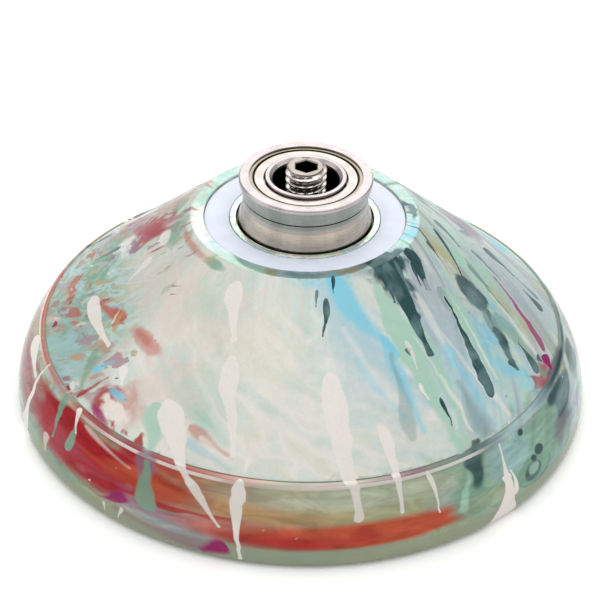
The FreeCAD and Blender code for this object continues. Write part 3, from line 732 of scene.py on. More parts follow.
class NodeBench:
    """Adds nodes to one tree and links them; most calls give back the new node's output."""

    def __init__(self, tree):
        self.tree = tree

    def add(self, kind, inputs=None, **settings):
        """A node with its settings, and with each input linked or set."""
        node = self.tree.nodes.new(kind)
        for name, setting in settings.items():
            setattr(node, name, setting)
        for key, value in (inputs or {}).items():
            if isinstance(value, NodeSocket):
                self.tree.links.new(value, node.inputs[key])
            else:
                node.inputs[key].default_value = value
        return node

    def local(self, place, middle, lean, size):
        """The place seen from a middle, turned by its lean and in steps of its size."""
        inputs = {"Vector": place, "Location": middle, "Rotation": lean, "Scale": size}
        return self.add("ShaderNodeMapping", inputs, vector_type="TEXTURE").outputs[0]

    def math(self, operation, *values, clamp=False):
        inputs = dict(enumerate(values))
        return self.add("ShaderNodeMath", inputs, operation=operation, use_clamp=clamp).outputs[0]

    def span(self, value, low, high, first=0.0, last=1.0, smooth=True):
        """A value's way from low to high, as a number from first to last."""
        kind = "SMOOTHSTEP" if smooth else "LINEAR"
        inputs = {"Value": value, "From Min": low, "From Max": high, "To Min": first, "To Max": last}
        return self.add("ShaderNodeMapRange", inputs, interpolation_type=kind).outputs[0]

    def mix(self, share, under, over, blend="MIX"):
        inputs = {MIX_SHARE: share, MIX_UNDER: under, MIX_OVER: over}
        node = self.add("ShaderNodeMix", inputs, data_type="RGBA", blend_type=blend)
        return node.outputs[MIX_RESULT]

    def noise(self, place, scale, detail=2.0, roughness=0.5, stir=0.0):
        """Soft noise from 0 to 1, with its scale per unit of the place; stir curls it."""
        inputs = {"Vector": place, "Scale": scale, "Detail": detail, "Roughness": roughness}
        inputs["Distortion"] = stir
        return self.add("ShaderNodeTexNoise", inputs).outputs[0]

    def pushed(self, place, scale, push):
        """The place moved about by noise, up to a distance."""
        inputs = {"Vector": place, "Scale": scale, "Detail": 2.0}
        drift = self.add("ShaderNodeTexNoise", inputs).outputs["Color"]
        centred = self.add("ShaderNodeVectorMath", {0: drift, 1: (0.5, 0.5, 0.5)}, operation="SUBTRACT")
        inputs = {0: centred.outputs[0], 1: (2 * push, 2 * push, 2 * push), 2: place}
        return self.add("ShaderNodeVectorMath", inputs, operation="MULTIPLY_ADD").outputs[0]

    def swayed(self, value, noise, reach):
        """A value moved by noise, up to a distance either way."""
        return self.math("ADD", value, self.span(noise, *NOISE, -reach, reach, smooth=False))

    def parts(self, vector):
        return self.add("ShaderNodeSeparateXYZ", {0: vector}).outputs

    def join(self, x, y, z=0.0):
        return self.add("ShaderNodeCombineXYZ", {0: x, 1: y, 2: z}).outputs[0]

    def scaled(self, vector, scale):
        inputs = {0: vector, 1: scale}
        return self.add("ShaderNodeVectorMath", inputs, operation="MULTIPLY").outputs[0]

    def ramp(self, value, stops):
        """A row of colours along 0 to 1; stops are (place, colour)."""
        node = self.add("ShaderNodeValToRGB", {0: value})
        elements = node.color_ramp.elements
        while len(elements) < len(stops):
            elements.new(0.5)
        for element, (place, paint) in zip(elements, stops):
            element.position = place
            element.color = paint
        return node.outputs[0]

    def bump(self, height, strength, distance, normal=None):
        inputs = {"Height": height, "Strength": strength, "Distance": distance}
        if normal:
            inputs["Normal"] = normal
        return self.add("ShaderNodeBump", inputs).outputs[0]

    def millimetres(self):
        """The place on the piece, in millimetres."""
        place = self.add("ShaderNodeTexCoord").outputs["Object"]
        return self.scaled(place, (1 / MM, 1 / MM, 1 / MM))

    def turned_place(self):
        """The distance from the axle and the height, so that a pattern runs round as turning marks do."""
        x, y, z = self.parts(self.millimetres())
        square = self.math("ADD", self.math("MULTIPLY", x, x), self.math("MULTIPLY", y, y))
        return self.math("SQRT", square), z


def opaque(paint):
    """A colour with its alpha."""
    return (*paint, 1.0)


def shaded(paint, share):
    """A colour made darker, with its alpha."""
    return opaque([part * share for part in paint])


def grey(level):
    """A grey with its alpha."""
    return opaque([level] * 3)


def new_group(name, inputs):
    """An empty node group that gives a colour, with a bench for it and its ends."""
    tree = bpy.data.node_groups.new(name, "ShaderNodeTree")
    for word, kind in inputs.items():
        tree.interface.new_socket(name=word, in_out="INPUT", socket_type=f"NodeSocket{kind}")
    tree.interface.new_socket(name="Painted", in_out="OUTPUT", socket_type="NodeSocketColor")
    bench = NodeBench(tree)
    return bench, bench.add("NodeGroupInput").outputs, bench.add("NodeGroupOutput").inputs["Painted"]


def wash_group():
    """A patch of dye: an oval on the chart whose edge is stirred by noise."""
    kinds = {
        "Under": "Color",
        "Paint": "Color",
        "Chart": "Vector",
        "Middle": "Vector",
        "Lean": "Vector",
        "Size": "Vector",
        "Stir": "Float",
        "Thin": "Float",
        "Edge, ragged, strength": "Vector",
    }
    bench, given, painted = new_group("dye_wash", kinds)
    edge, ragged, strength = bench.parts(given["Edge, ragged, strength"])
    local = bench.local(given["Chart"], given["Middle"], given["Lean"], given["Size"])
    away = bench.add("ShaderNodeVectorMath", {0: local}, operation="LENGTH").outputs["Value"]
    depth = bench.math("MULTIPLY_ADD", given["Stir"], ragged, bench.math("SUBTRACT", 1.0, away))
    inside = bench.span(depth, bench.math("MULTIPLY", edge, -1.0), edge)
    share = bench.math("MULTIPLY", inside, bench.math("MULTIPLY", given["Thin"], strength))
    bench.tree.links.new(bench.mix(share, given["Under"], given["Paint"]), painted)
    return bench.tree


# Half width of a run along its length, from a round head to a thin tail with a bead at its end
RUN_GIRTH = (
    (0.0, -1.0),
    (0.02, 0.3),
    (0.08, 0.75),
    (0.2, 1.0),
    (0.32, 0.95),
    (0.55, 0.6),
    (0.75, 0.36),
    (0.9, 0.26),
    (0.965, 0.3),
    (0.99, 0.1),
    (1.0, -1.0),
)
SEAM_WIDTH = 0.4


def run_group():
    """A run of dye along its own line, with the pale seam that gathers beside it."""
    kinds = {
        "Under": "Color",
        "Paint": "Color",
        "Pale": "Color",
        "Chart": "Vector",
        "Head": "Vector",
        "Lean": "Vector",
        "Size": "Vector",
        "Stir": "Float",
        "Edge, strength, seam": "Vector",
    }
    bench, given, painted = new_group("dye_run", kinds)
    edge, strength, seam = bench.parts(given["Edge, strength, seam"])
    local = bench.local(given["Chart"], given["Head"], given["Lean"], given["Size"])
    across, along, _ = bench.parts(local)
    girth = bench.add("ShaderNodeFloatCurve", {"Value": along})
    mapping = girth.mapping
    mapping.clip_min_y = -1.0
    points = mapping.curves[0].points
    for place, width in RUN_GIRTH[1:-1]:
        points.new(place, width)
    points[0].location = RUN_GIRTH[0]
    points[len(points) - 1].location = RUN_GIRTH[-1]
    mapping.update()
    stirred = bench.math("MULTIPLY", girth.outputs[0], given["Stir"])
    depth = bench.math("SUBTRACT", stirred, bench.math("ABSOLUTE", across))
    half_edge = bench.math("MULTIPLY", edge, 0.5)
    inside = bench.span(depth, bench.math("MULTIPLY", half_edge, -1.0), half_edge)
    beside = bench.math("MULTIPLY", bench.span(depth, -SEAM_WIDTH, 0.0), seam)
    seamed = bench.mix(beside, given["Under"], given["Pale"])
    bench.tree.links.new(bench.mix(bench.math("MULTIPLY", inside, strength), seamed, given["Paint"]), painted)
    return bench.tree


def add_group(bench, tree, inputs):
    """A node that stands for a group."""
    return bench.add("ShaderNodeGroup", inputs, node_tree=tree).outputs[0]


def new_material(name):
    """A material with an empty bench and its shader."""
    material = bpy.data.materials.new(name)
    material.use_nodes = True
    shader = material.node_tree.nodes["Principled BSDF"]
    return material, NodeBench(material.node_tree), shader


def dress(bench, shader, tone, roughness, normal):
    """Link a finish's colour, roughness and bump to its shader."""
    for socket, value in (("Base Color", tone), ("Roughness", roughness), ("Normal", normal)):
        bench.tree.links.new(value, shader.inputs[socket])


def eased(corners, closed=False):
    """An outline through (radius, height, rounding) corners, with each corner rounded."""
    points = []
    count = len(corners)
    for index, (radius, height, rounding) in enumerate(corners):
        here = Vector((radius, height))
        at_end = not closed and index in (0, count - 1)
        if rounding <= 0.0 or at_end:
            points.append(here)
            continue
        before = Vector(corners[index - 1][:2]) - here
        after = Vector(corners[(index + 1) % count][:2]) - here
        half = before.angle(after) / 2
        setback = rounding / math.tan(half)
        middle = here + (before.normalized() + after.normalized()).normalized() * rounding / math.sin(half)
        first = here + before.normalized() * setback - middle
        last = here + after.normalized() * setback - middle
        for step in range(ROUND_STEPS + 1):
            share = step / ROUND_STEPS
            points.append(middle + first.slerp(last, share) * rounding)
    return points


def arc(middle, reach, first, last):
    """Corners along an arc, with angles from the radius axis."""
    corners = []
    for step in range(ARC_STEPS + 1):
        swing = first + (last - first) * step / ARC_STEPS
        corners.append((middle[0] + reach * math.cos(swing), middle[1] + reach * math.sin(swing), 0.0))
    return corners


def outline_marks(points, closed):
    """How far along the outline each point lies."""
    marks = [0.0]
    ends = points[1:] + (points[:1] if closed else [])
    for here, there in zip(points, ends):
        marks.append(marks[-1] + (there - here).length)
    return marks


def turned_rings(points, sides, opening=0.0, facing=0.0):
    """The outline's points carried round the axle. A gap faces the front unless it is turned."""
    rings = []
    first = facing + opening / 2 if opening else -math.pi
    sweep = math.tau - opening
    count = sides + 1 if opening else sides
    turns = [first + sweep * step / sides for step in range(count)]
    for radius, height in points:
        if radius < ON_AXIS:
            rings.append([Vector((0.0, 0.0, height))])
            continue
        ring = [Vector((radius * math.sin(turn), -radius * math.cos(turn), height)) for turn in turns]
        rings.append(ring)
    return rings


def skin(name, rings, marks, closed=False, gap=False):
    """A mesh over rings of points; a ring of one point closes the mesh on the axle."""
    bm = bmesh.new()
    chart = bm.loops.layers.uv.new(CHART)
    rows = [[bm.verts.new(point) for point in ring] for ring in rings]
    sides = max(len(row) for row in rows) - (1 if gap else 0)
    shares = [mark / marks[-1] for mark in marks]
    pairs = list(zip(rows, rows[1:], shares, shares[1:]))
    if closed:
        pairs.append((rows[-1], rows[0], shares[-2], shares[-1]))
    for lower, upper, low, high in pairs:
        for step in range(sides):
            corners = [
                (lower[step % len(lower)], step, low),
                (lower[(step + 1) % len(lower)], step + 1, low),
                (upper[(step + 1) % len(upper)], step + 1, high),
                (upper[step % len(upper)], step, high),
            ]
            if len(lower) == 1:
                del corners[1]
            elif len(upper) == 1:
                del corners[2]
            face = bm.faces.new([corner[0] for corner in corners])
            for loop, (_, across, along) in zip(face.loops, corners):
                loop[chart].uv = (across / sides, along)
    if gap:
        bm.faces.new([row[0] for row in rows])
        bm.faces.new([row[-1] for row in rows])
    bmesh.ops.recalc_face_normals(bm, faces=bm.faces)
    mesh = bpy.data.meshes.new(name)
    bm.to_mesh(mesh)
    bm.free()
    mesh.polygons.foreach_set("use_smooth", [True] * len(mesh.polygons))
    mesh.set_sharp_from_angle(angle=SHARP_ANGLE)
    piece = bpy.data.objects.new(name, mesh)
    bpy.context.scene.collection.objects.link(piece)
    return piece


def turned_ring(name, corners, sides=BEARING_SIDES, opening=0.0, facing=0.0):
    """A closed ring turned from the corners of its section."""
    points = eased(corners, closed=True)
    rings = turned_rings(points, sides, opening, facing)
    return skin(name, rings, outline_marks(points, True), closed=True, gap=bool(opening))


def fit(piece, body, node, slot, *finishes):
    """Put a piece in the place of its CAD node, on the node's body and with its finish."""
    for finish in finishes:
        piece.data.materials.append(finish)
    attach(piece, body)
    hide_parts(node)


def shell_corners(sizes):
    """The shell's outline from the hole's point, over the outside, to the hub's end."""
    foot_middle = (sizes.rim_radius - sizes.foot_round, sizes.foot_round)
    bead_radius = sizes.rim_radius - sizes.rim_flare
    cone_foot = bead_radius - sizes.bead_width
    wall_rise = sizes.cone_foot_height - sizes.bead_drop - sizes.foot_round
    wall_bow = (sizes.rim_flare**2 + wall_rise**2) / (2 * sizes.rim_flare)
    bead_bow = (sizes.bead_width**2 + sizes.bead_drop**2) / (2 * sizes.bead_drop)
    wall_middle = (sizes.rim_radius - wall_bow, sizes.foot_round)
    bead_middle = (cone_foot, sizes.cone_foot_height - bead_bow)
    quarter = math.pi / 2
    seat = [
        (0.0, sizes.hole_floor - sizes.hole_point, 0.0),
        (sizes.hole_radius, sizes.hole_floor, 0.0),
        (sizes.hole_radius, sizes.post_top, sizes.edge_break),
        (sizes.post_radius - sizes.post_chamfer, sizes.post_top, 0.0),
        (sizes.post_radius, sizes.post_top - sizes.post_chamfer, 0.0),
        (sizes.post_radius, sizes.shoulder_height, 0.0),
        (sizes.shoulder_radius, sizes.shoulder_height, sizes.edge_break),
        (sizes.shoulder_radius, sizes.recess_floor, sizes.edge_break),
        (sizes.recess_radius, sizes.recess_floor, sizes.edge_break),
        (sizes.recess_radius, sizes.lip_height, sizes.edge_break),
        (sizes.groove_inner, sizes.lip_height, sizes.edge_break),
        (sizes.groove_inner, sizes.groove_floor, 0.0),
        (sizes.groove_outer, sizes.groove_floor, 0.0),
        (sizes.groove_outer, sizes.ring_height, sizes.edge_break),
    ]
    outside = [
        (sizes.ring_radius, sizes.ring_height, sizes.ring_round),
        *arc(bead_middle, bead_bow, quarter, math.asin(1 - sizes.bead_drop / bead_bow)),
        *arc(wall_middle, wall_bow, math.asin(wall_rise / wall_bow), 0.0)[1:],
        *arc(foot_middle, sizes.foot_round, 0.0, -quarter)[1:],
    ]
    cup = [
        (sizes.mouth_radius, 0.0, sizes.mouth_round),
        (sizes.cup_radius, sizes.cup_shoulder, sizes.cup_round),
        (sizes.cup_floor_radius, sizes.cup_floor, sizes.cup_round),
        (sizes.hub_radius, sizes.cup_floor, sizes.cup_round),
        (sizes.hub_radius, sizes.hub_end, sizes.hub_round),
        (0.0, sizes.hub_end, 0.0),
    ]
    return seat + outside + cup


def painted_chart(bench, length_round, ring_edge):
    """Degrees round from the front, and millimetres down from the ring's edge."""
    place = bench.add("ShaderNodeUVMap", uv_map=CHART).outputs[0]
    across, along, _ = bench.parts(place)
    turn = bench.span(across, 0.0, 1.0, -180.0, 180.0, smooth=False)
    drop = bench.span(along, 0.0, 1.0, -ring_edge, length_round - ring_edge, smooth=False)
    return turn, drop


# How far the noise pushes the dye about, in millimetres
SWIRL = 2.2
RIPPLE = 0.9
WAVER = 0.45
# The least and the most that noise makes of a run's width
GIRTHS = (0.8, 1.2)
# How deep the noise eats into a patch at most, as a share of its size, and the most for a smooth one
STIR = 0.55
SMOOTH = 0.3


def back_rows():
    """Patches and runs for the back, the same on every run of the script."""
    chance = random.Random(BACK_SEED)
    washes = []
    for index in range(BACK_WASHES):
        wash = Wash(
            dye=BACK_DYES[index % len(BACK_DYES)],
            turn=chance.uniform(BACK_FIRST, BACK_LAST),
            drop=chance.uniform(0.5, 26.0),
            half_turn=chance.uniform(3.0, 12.0),
            half_drop=chance.uniform(0.6, 3.4),
            lean=chance.uniform(-30.0, 30.0),
            edge=0.4,
            strength=chance.uniform(0.6, 0.95),
        )
        washes.append(wash)
    runs = []
    for index in range(BACK_RUNS):
        turn = chance.uniform(BACK_FIRST, BACK_LAST)
        drop = chance.uniform(-0.5, 17.0)
        run = Run(
            dye=BACK_RUN_DYES[index % len(BACK_RUN_DYES)],
            turn=turn,
            drop=drop,
            to_turn=turn + chance.uniform(-8.0, 3.0),
            to_drop=drop + chance.uniform(3.0, 11.0),
            half_width=chance.uniform(0.15, 0.65),
            edge=chance.uniform(0.1, 0.3),
        )
        runs.append(run)
    return washes, runs


def rows_on(rows, band, sector):
    """The patches or runs that reach a panel, those from over the seam at the back included."""
    over_seam = [row.moved(side * 360.0) for row in rows for side in (-1, 1)]
    return [row for row in (*rows, *over_seam) if on_panel(row, band, sector)]


def on_panel(row, band, sector):
    """True if a patch or a run can reach a panel of the shell."""
    if isinstance(row, Wash):
        smooth = row.ragged <= SMOOTH
        sway, lift, blur = (WAVER, 0.0, row.edge) if smooth else (SWIRL, RIPPLE, row.edge / 2)
        soft = 1 + STIR * row.ragged + blur
        wide = row.half_turn * soft * CHART_STEP + sway
        high = row.half_drop * soft + lift
        lean = math.radians(row.lean)
        reach = abs(wide * math.cos(lean)) + abs(high * math.sin(lean))
        rise = abs(wide * math.sin(lean)) + abs(high * math.cos(lean))
        turns = (row.turn - reach / CHART_STEP, row.turn + reach / CHART_STEP)
        drops = (row.drop - rise, row.drop + rise)
    else:
        side = row.half_width * GIRTHS[1] + max(row.edge / 2, row.half_width * SEAM_WIDTH)
        spread = (side + WAVER) / CHART_STEP
        turns = (min(row.turn, row.to_turn) - spread, max(row.turn, row.to_turn) + spread)
        drops = (min(row.drop, row.to_drop) - side, max(row.drop, row.to_drop) + side)
    meets = turns[0] < sector[1] and turns[1] > sector[0]
    return meets and drops[0] < band.end and drops[1] > band.start


def lay_washes(bench, under, charts, stir, thin, dark, dyes, washes):
    """Patches of dye, one over another; smooth ones keep to the calm chart."""
    stirred, calm = charts
    group = bpy.data.node_groups.get("dye_wash") or wash_group()
    for wash in washes:
        inputs = {
            "Under": under,
            "Paint": dark if wash.dye == "slate" else opaque(getattr(dyes, wash.dye)),
            "Chart": stirred if wash.ragged > SMOOTH else calm,
            "Middle": (wash.turn * CHART_STEP, wash.drop, 0.0),
            "Lean": (0.0, 0.0, -math.radians(wash.lean)),
            "Size": (wash.half_turn * CHART_STEP, wash.half_drop, 1.0),
            "Stir": stir,
            "Thin": thin,
            "Edge, ragged, strength": (wash.edge, wash.ragged, wash.strength),
        }
        under = add_group(bench, group, inputs)
    return under


def lay_runs(bench, under, chart, girth, dark, dyes, runs):
    """Runs of dye; some push a pale seam out beside them."""
    group = bpy.data.node_groups.get("dye_run") or run_group()
    for run in runs:
        head = Vector((run.turn * CHART_STEP, run.drop))
        way = Vector((run.to_turn * CHART_STEP, run.to_drop)) - head
        inputs = {
            "Under": under,
            "Paint": dark if run.dye == "slate" else opaque(getattr(dyes, run.dye)),
            "Pale": opaque(dyes.pearl),
            "Chart": chart,
            "Head": (*head, 0.0),
            "Lean": (0.0, 0.0, math.atan2(-way.x, way.y)),
            "Size": (run.half_width, way.length, 1.0),
            "Stir": girth,
            "Edge, strength, seam": (run.edge / run.half_width, run.strength, run.seam),
        }
        under = add_group(bench, group, inputs)
    return under


def dye_row(bench, value, first, last, dyes, names):
    """Dyes in a row along a value, at even steps from first to last."""
    step = (last - first) / (len(names) - 1)
    stops = [(first + step * index, opaque(getattr(dyes, name))) for index, name in enumerate(names)]
    return bench.ramp(value, stops)


class Place(NamedTuple):
    """A point of the shell as the dyes meet it; each part is a socket."""

    turn: NodeSocket
    drop: NodeSocket
    across: NodeSocket
    east: NodeSocket
    south: NodeSocket
    twisted: NodeSocket
    flow: NodeSocket
    drift: NodeSocket


# How far the streaks at the sides turn on their way down, in degrees to a millimetre
TWIST = 1.8


def rolled(bench, radians, drop):
    """The chart rolled up to a tube, so that noise on it meets itself at the back."""
    girth = math.degrees(CHART_STEP)
    around = bench.join(bench.math("SINE", radians), bench.math("COSINE", radians), drop)
    return bench.scaled(around, (girth, girth, 1.0))


def find_place(bench, chart_size, band, sector):
    """Where a point of a panel lies: on the chart, round the axle, and on the tubes that noise takes."""
    turn, drop = painted_chart(bench, *chart_size)
    if sector[1] > 180:
        behind = bench.math("LESS_THAN", turn, 0.0)
        turn = bench.math("ADD", turn, bench.math("MULTIPLY", behind, 360.0))
    radians = bench.math("RADIANS", turn)
    unrolled = rolled(bench, radians, drop)
    twisted = bench.math("MULTIPLY_ADD", drop, math.radians(TWIST), radians)
    return Place(
        turn=turn,
        drop=drop,
        across=bench.math("MULTIPLY", turn, CHART_STEP),
        east=bench.math("SINE", radians),
        south=bench.math("COSINE", radians),
        twisted=rolled(bench, twisted, drop),
        flow=bench.scaled(unrolled, band.streak),
        drift=bench.scaled(unrolled, band.drift),
    )


# How the pale bands in front are brushed: their lean in degrees, their length and width, and their dyes
SWEEP_LEAN = 35.0
SWEEP_SIZE = (14.0, 3.0, 1.0)
SWEEP_DYES = "mint mist pearl cream straw pearl mist mint".split()
# How the marble on the left and the streaks on the right are drawn out, and their dyes
MARBLE_STRETCH = (1.0, 1.0, 0.75)
MARBLE_DYES = "rose lilac sage sky mint sage moss brick".split()
STREAK_STRETCH = (1.0, 1.0, 0.16)
STREAK_DYES = "smoke lilac sky mint mist lilac smoke moss".split()
# Where each of them comes in, by the sine or cosine of its turn or by its drop, with its least and most share
SWEEP_SOUTH = (0.5, 0.85, 0.0, 0.75)
SWEEP_DROP = (1.0, 6.0)
SWEEP_END = 0.3
MARBLE_EAST = (-0.77, -0.95)
MARBLE_DROP = (6.0, 11.0, 0.25, 0.8)
STREAK_EAST = (0.5, 0.75, 0.0, 0.7)


def sweep_front(bench, ground, place, dyes):
    """Brush pale bands over the front of the cone at a slant."""
    gentle = bench.pushed(bench.join(place.across, place.drop), 0.12, 1.5)
    slant = bench.local(gentle, (0.0, 0.0, 0.0), (0.0, 0.0, math.radians(SWEEP_LEAN)), SWEEP_SIZE)
    bands = bench.noise(slant, 1.0, detail=2.5, roughness=0.45, stir=0.2)
    ahead = bench.math("MULTIPLY", bench.span(place.south, *SWEEP_SOUTH), bench.span(place.drop, *SWEEP_DROP))
    cone_end = BANDS["cone"].end
    on_cone = bench.span(place.drop, cone_end - SWEEP_END, cone_end, 1.0, 0.0)
    brushed = dye_row(bench, bands, 0.25, 0.75, dyes, SWEEP_DYES)
    return bench.mix(bench.math("MULTIPLY", ahead, on_cone), ground, brushed)


def dyed_ground(bench, tints, place, dyes):
    """What lies under the patches: brushed tints in front, marble on the left, streaks on the right."""
    first, second, third = (opaque(getattr(dyes, tint)) for tint in tints)
    broad = bench.noise(place.flow, 0.22, stir=0.6)
    veil = bench.noise(place.flow, 0.6, detail=3.0, roughness=0.55, stir=0.8)
    ground = bench.mix(bench.span(broad, 0.35, 0.65), first, second)
    ground = bench.mix(bench.span(veil, 0.48, 0.7, 0.0, 0.7), ground, third)
    ground = sweep_front(bench, ground, place, dyes)
    curls = bench.noise(bench.scaled(place.twisted, MARBLE_STRETCH), 0.5, detail=1.5, stir=0.5)
    marble = dye_row(bench, curls, 0.27, 0.73, dyes, MARBLE_DYES)
    west = bench.math("MULTIPLY", bench.span(place.east, *MARBLE_EAST), bench.span(place.drop, *MARBLE_DROP))
    ground = bench.mix(west, ground, marble)
    lines = bench.noise(bench.scaled(place.twisted, STREAK_STRETCH), 0.32, stir=0.6)
    streaks = dye_row(bench, lines, *MID_NOISE, dyes, STREAK_DYES)
    return bench.mix(bench.span(place.east, *STREAK_EAST), ground, streaks)


# Where each zone of spatter lies, told in the same way; specks lie on both sides
SMEARS_EAST = (-0.965, -0.995)
SMEARS_DROP = (9.0, 6.0, 0.0, 0.7)
DAUBS_EAST = (-0.74, -0.9)
DAUBS_DROP = (8.0, 12.0, 0.1, 0.75)
DAUBS_END = (20.0, 19.0)
STREAKS_EAST = (0.7, 0.95, 0.0, 0.5)
SPECKS_SIDE = (0.5, 0.92, 0.06, 0.4)


def zone_share(bench, zone, east, drop):
    """The share of cells that hold a drop, by its zone."""
    if zone == "smears":
        return bench.math("MULTIPLY", bench.span(east, *SMEARS_EAST), bench.span(drop, *SMEARS_DROP))
    if zone == "daubs":
        low = bench.math("MULTIPLY", bench.span(drop, *DAUBS_DROP), bench.span(drop, *DAUBS_END))
        return bench.math("MULTIPLY", bench.span(east, *DAUBS_EAST), low)
    if zone == "streaks":
        return bench.span(east, *STREAKS_EAST)
    return bench.span(bench.math("ABSOLUTE", east), *SPECKS_SIDE)


def lay_spatter(bench, under, twisted, dyes, spatter):
    """Drops of dye, each in a cell of its own."""
    place = bench.pushed(bench.scaled(twisted, spatter.stretch), spatter.cells, spatter.push)
    cells = bench.add("ShaderNodeTexVoronoi", {"Vector": place, "Scale": spatter.cells})
    size, chance, choice = bench.parts(cells.outputs["Color"])
    reach = bench.span(size, 0.0, 1.0, spatter.smallest, spatter.largest, smooth=False)
    inside = bench.span(bench.math("SUBTRACT", reach, cells.outputs["Distance"]), 0.0, spatter.edge)
    unstretched = [1 / part for part in spatter.stretch]
    middle_x, middle_y, middle_drop = bench.parts(bench.scaled(cells.outputs["Position"], unstretched))
    twist = bench.math("MULTIPLY", middle_drop, math.radians(TWIST))
    middle_turn = bench.math("SUBTRACT", bench.math("ARCTAN2", middle_x, middle_y), twist)
    middle_east = bench.math("SINE", middle_turn)
    present = bench.math("LESS_THAN", chance, zone_share(bench, spatter.zone, middle_east, middle_drop))
    mask = bench.math("MULTIPLY", inside, bench.math("MULTIPLY", present, spatter.strength))
    return bench.mix(mask, under, dye_row(bench, choice, 0.05, 0.95, dyes, spatter.dyes))


def near(bench, value, middle, half):
    """1 where a value is close to a middle, falling to 0 at half a band's width from it."""
    away = bench.math("ABSOLUTE", bench.math("SUBTRACT", value, middle))
    return bench.span(away, half, half * 0.6)


def lay_bead(bench, painted, place, swirl, ripple, dyes):
    """The bead's own dyes, its pale line of painted highlight and its dark crease of painted shade, and the
    even dye along the foot.
    """
    way_round = bench.span(place.turn, *BEAD_TURNS, smooth=False)
    patchy = bench.span(ripple, 0.35, 0.6, 0.45, 0.95)
    bead = bench.math("MULTIPLY", near(bench, place.drop, BEAD_MIDDLE, BEAD_HALF), patchy)
    painted = bench.mix(bead, painted, dye_row(bench, way_round, 0.0, 1.0, dyes, BEAD_DYES))
    # Painted highlight: a pale cream line along the bead's crown
    highlight_share = bench.span(swirl, 0.35, 0.6, 0.15, 0.85)
    highlight_share = bench.math("MULTIPLY", highlight_share, bench.span(place.turn, *HIGHLIGHT_FADE))
    line = bench.math("MULTIPLY", near(bench, place.drop, HIGHLIGHT_MIDDLE, HIGHLIGHT_HALF), highlight_share)
    painted = bench.mix(line, painted, opaque(dyes.cream))
    # Painted shade: a dark umber line in the crease between the cone and the bead
    crease = bench.math("MULTIPLY", near(bench, place.drop, CREASE_MIDDLE, CREASE_HALF), CREASE_STRENGTH)
    painted = bench.mix(crease, painted, opaque(dyes.umber_and_crease_shade))
    edge = bench.swayed(place.drop, ripple, FOOT_WAVE)
    foot = bench.span(edge, FOOT_START - FOOT_SOFT, FOOT_START + FOOT_SOFT, 0.0, FOOT_STRENGTH)
    return bench.mix(foot, painted, opaque(dyes.foot))


# What all dyed bands share: how they shine, and how far their grain stands out, in millimetres
DYE_SPECULAR = 0.12
COAT_ROUGHNESS = 0.06
GRAIN_RELIEF = 0.04


def dye_surface(bench, shader, painted, band):
    """The shade, grain, gloss and metal of a dyed band."""
    place = bench.millimetres()
    grain = bench.noise(place, 5.0, detail=3.0, roughness=0.7)
    specks = bench.ramp(grain, [(0.35, grey(0.82)), (0.65, grey(1.0))])
    tone = bench.mix(1.0, painted, grey(band.shade), "MULTIPLY")
    tone = bench.mix(band.grain, tone, specks, "MULTIPLY")
    relief = bench.bump(bench.noise(place, 9.0), band.grain, GRAIN_RELIEF * MM)
    dress(bench, shader, tone, bench.span(grain, *NOISE, *band.gloss), relief)
    shader.inputs["Metallic"].default_value = band.metal
    shader.inputs["Specular IOR Level"].default_value = DYE_SPECULAR
    shader.inputs["Coat Weight"].default_value = band.coat
    shader.inputs["Coat Roughness"].default_value = COAT_ROUGHNESS


def dyed_panel(name, dyes, chart_size, band, sector, washes, runs):
    """Splash-dyed aluminium on one panel of the shell."""
    material, bench, shader = new_material(name)
    place = find_place(bench, chart_size, band, sector)
    swirl = bench.noise(place.drift, 0.22, stir=0.8)
    ripple = bench.noise(place.drift, 0.55, detail=4 * band.stir, stir=2 * band.stir)
    lumps = bench.noise(place.drift, 0.4)
    patches = bench.noise(place.flow, 0.8, detail=3.0, roughness=0.55, stir=0.6)
    currents = bench.noise(place.drift, 0.9, detail=4.0, roughness=0.6, stir=1.2)
    stirred = bench.join(bench.swayed(place.across, swirl, SWIRL), bench.swayed(place.drop, ripple, RIPPLE))
    calm = bench.join(bench.swayed(place.across, swirl, WAVER), place.drop)
    stir = bench.span(ripple, 0.25, 0.75, -band.stir, band.stir, smooth=False)
    girth = bench.span(lumps, 0.25, 0.75, *GIRTHS, smooth=False)
    thin = bench.span(patches, 0.3, 0.6, band.cover, 1.0)
    dark = bench.mix(bench.span(lumps, 0.42, 0.7, 0.05, 0.7), opaque(dyes.slate), opaque(dyes.smoke))
    painted = dyed_ground(bench, band.ground, place, dyes)
    rows = rows_on(washes, band, sector)
    painted = lay_washes(bench, painted, (stirred, calm), stir, thin, dark, dyes, rows)
    depths = bench.ramp(currents, [(0.3, grey(0.3)), (0.7, grey(0.72))])
    painted = bench.mix(band.depth, painted, depths, "OVERLAY")
    for spatter in SPATTERS:
        painted = lay_spatter(bench, painted, place.twisted, dyes, spatter)
    if band.end > FOOT_START:
        painted = lay_bead(bench, painted, place, swirl, ripple, dyes)
    painted = lay_runs(bench, painted, calm, girth, dark, dyes, rows_on(runs, band, sector))
    dye_surface(bench, shader, painted, band)
    return material


# Near-black that paints shade into recesses, gaps and grooves
SHADE_BLACK = (0.02, 0.018, 0.015, 1.0)
# Inside this radius, in millimetres, the seat is painted black as shade in the recess, the hole and round the
# post; its edge is this soft
SEAT_EDGE, SEAT_SOFT = 6.62, 0.1
SEAT_DYES = "mint cream sky straw mint moss".split()
CUP_DYES = "sage mint pearl blush sky rose".split()
# How far turning marks stand out, in millimetres: on the seat and on steel, and in the cup and on the pad
FINE_RELIEF, COARSE_RELIEF = 0.02, 0.03


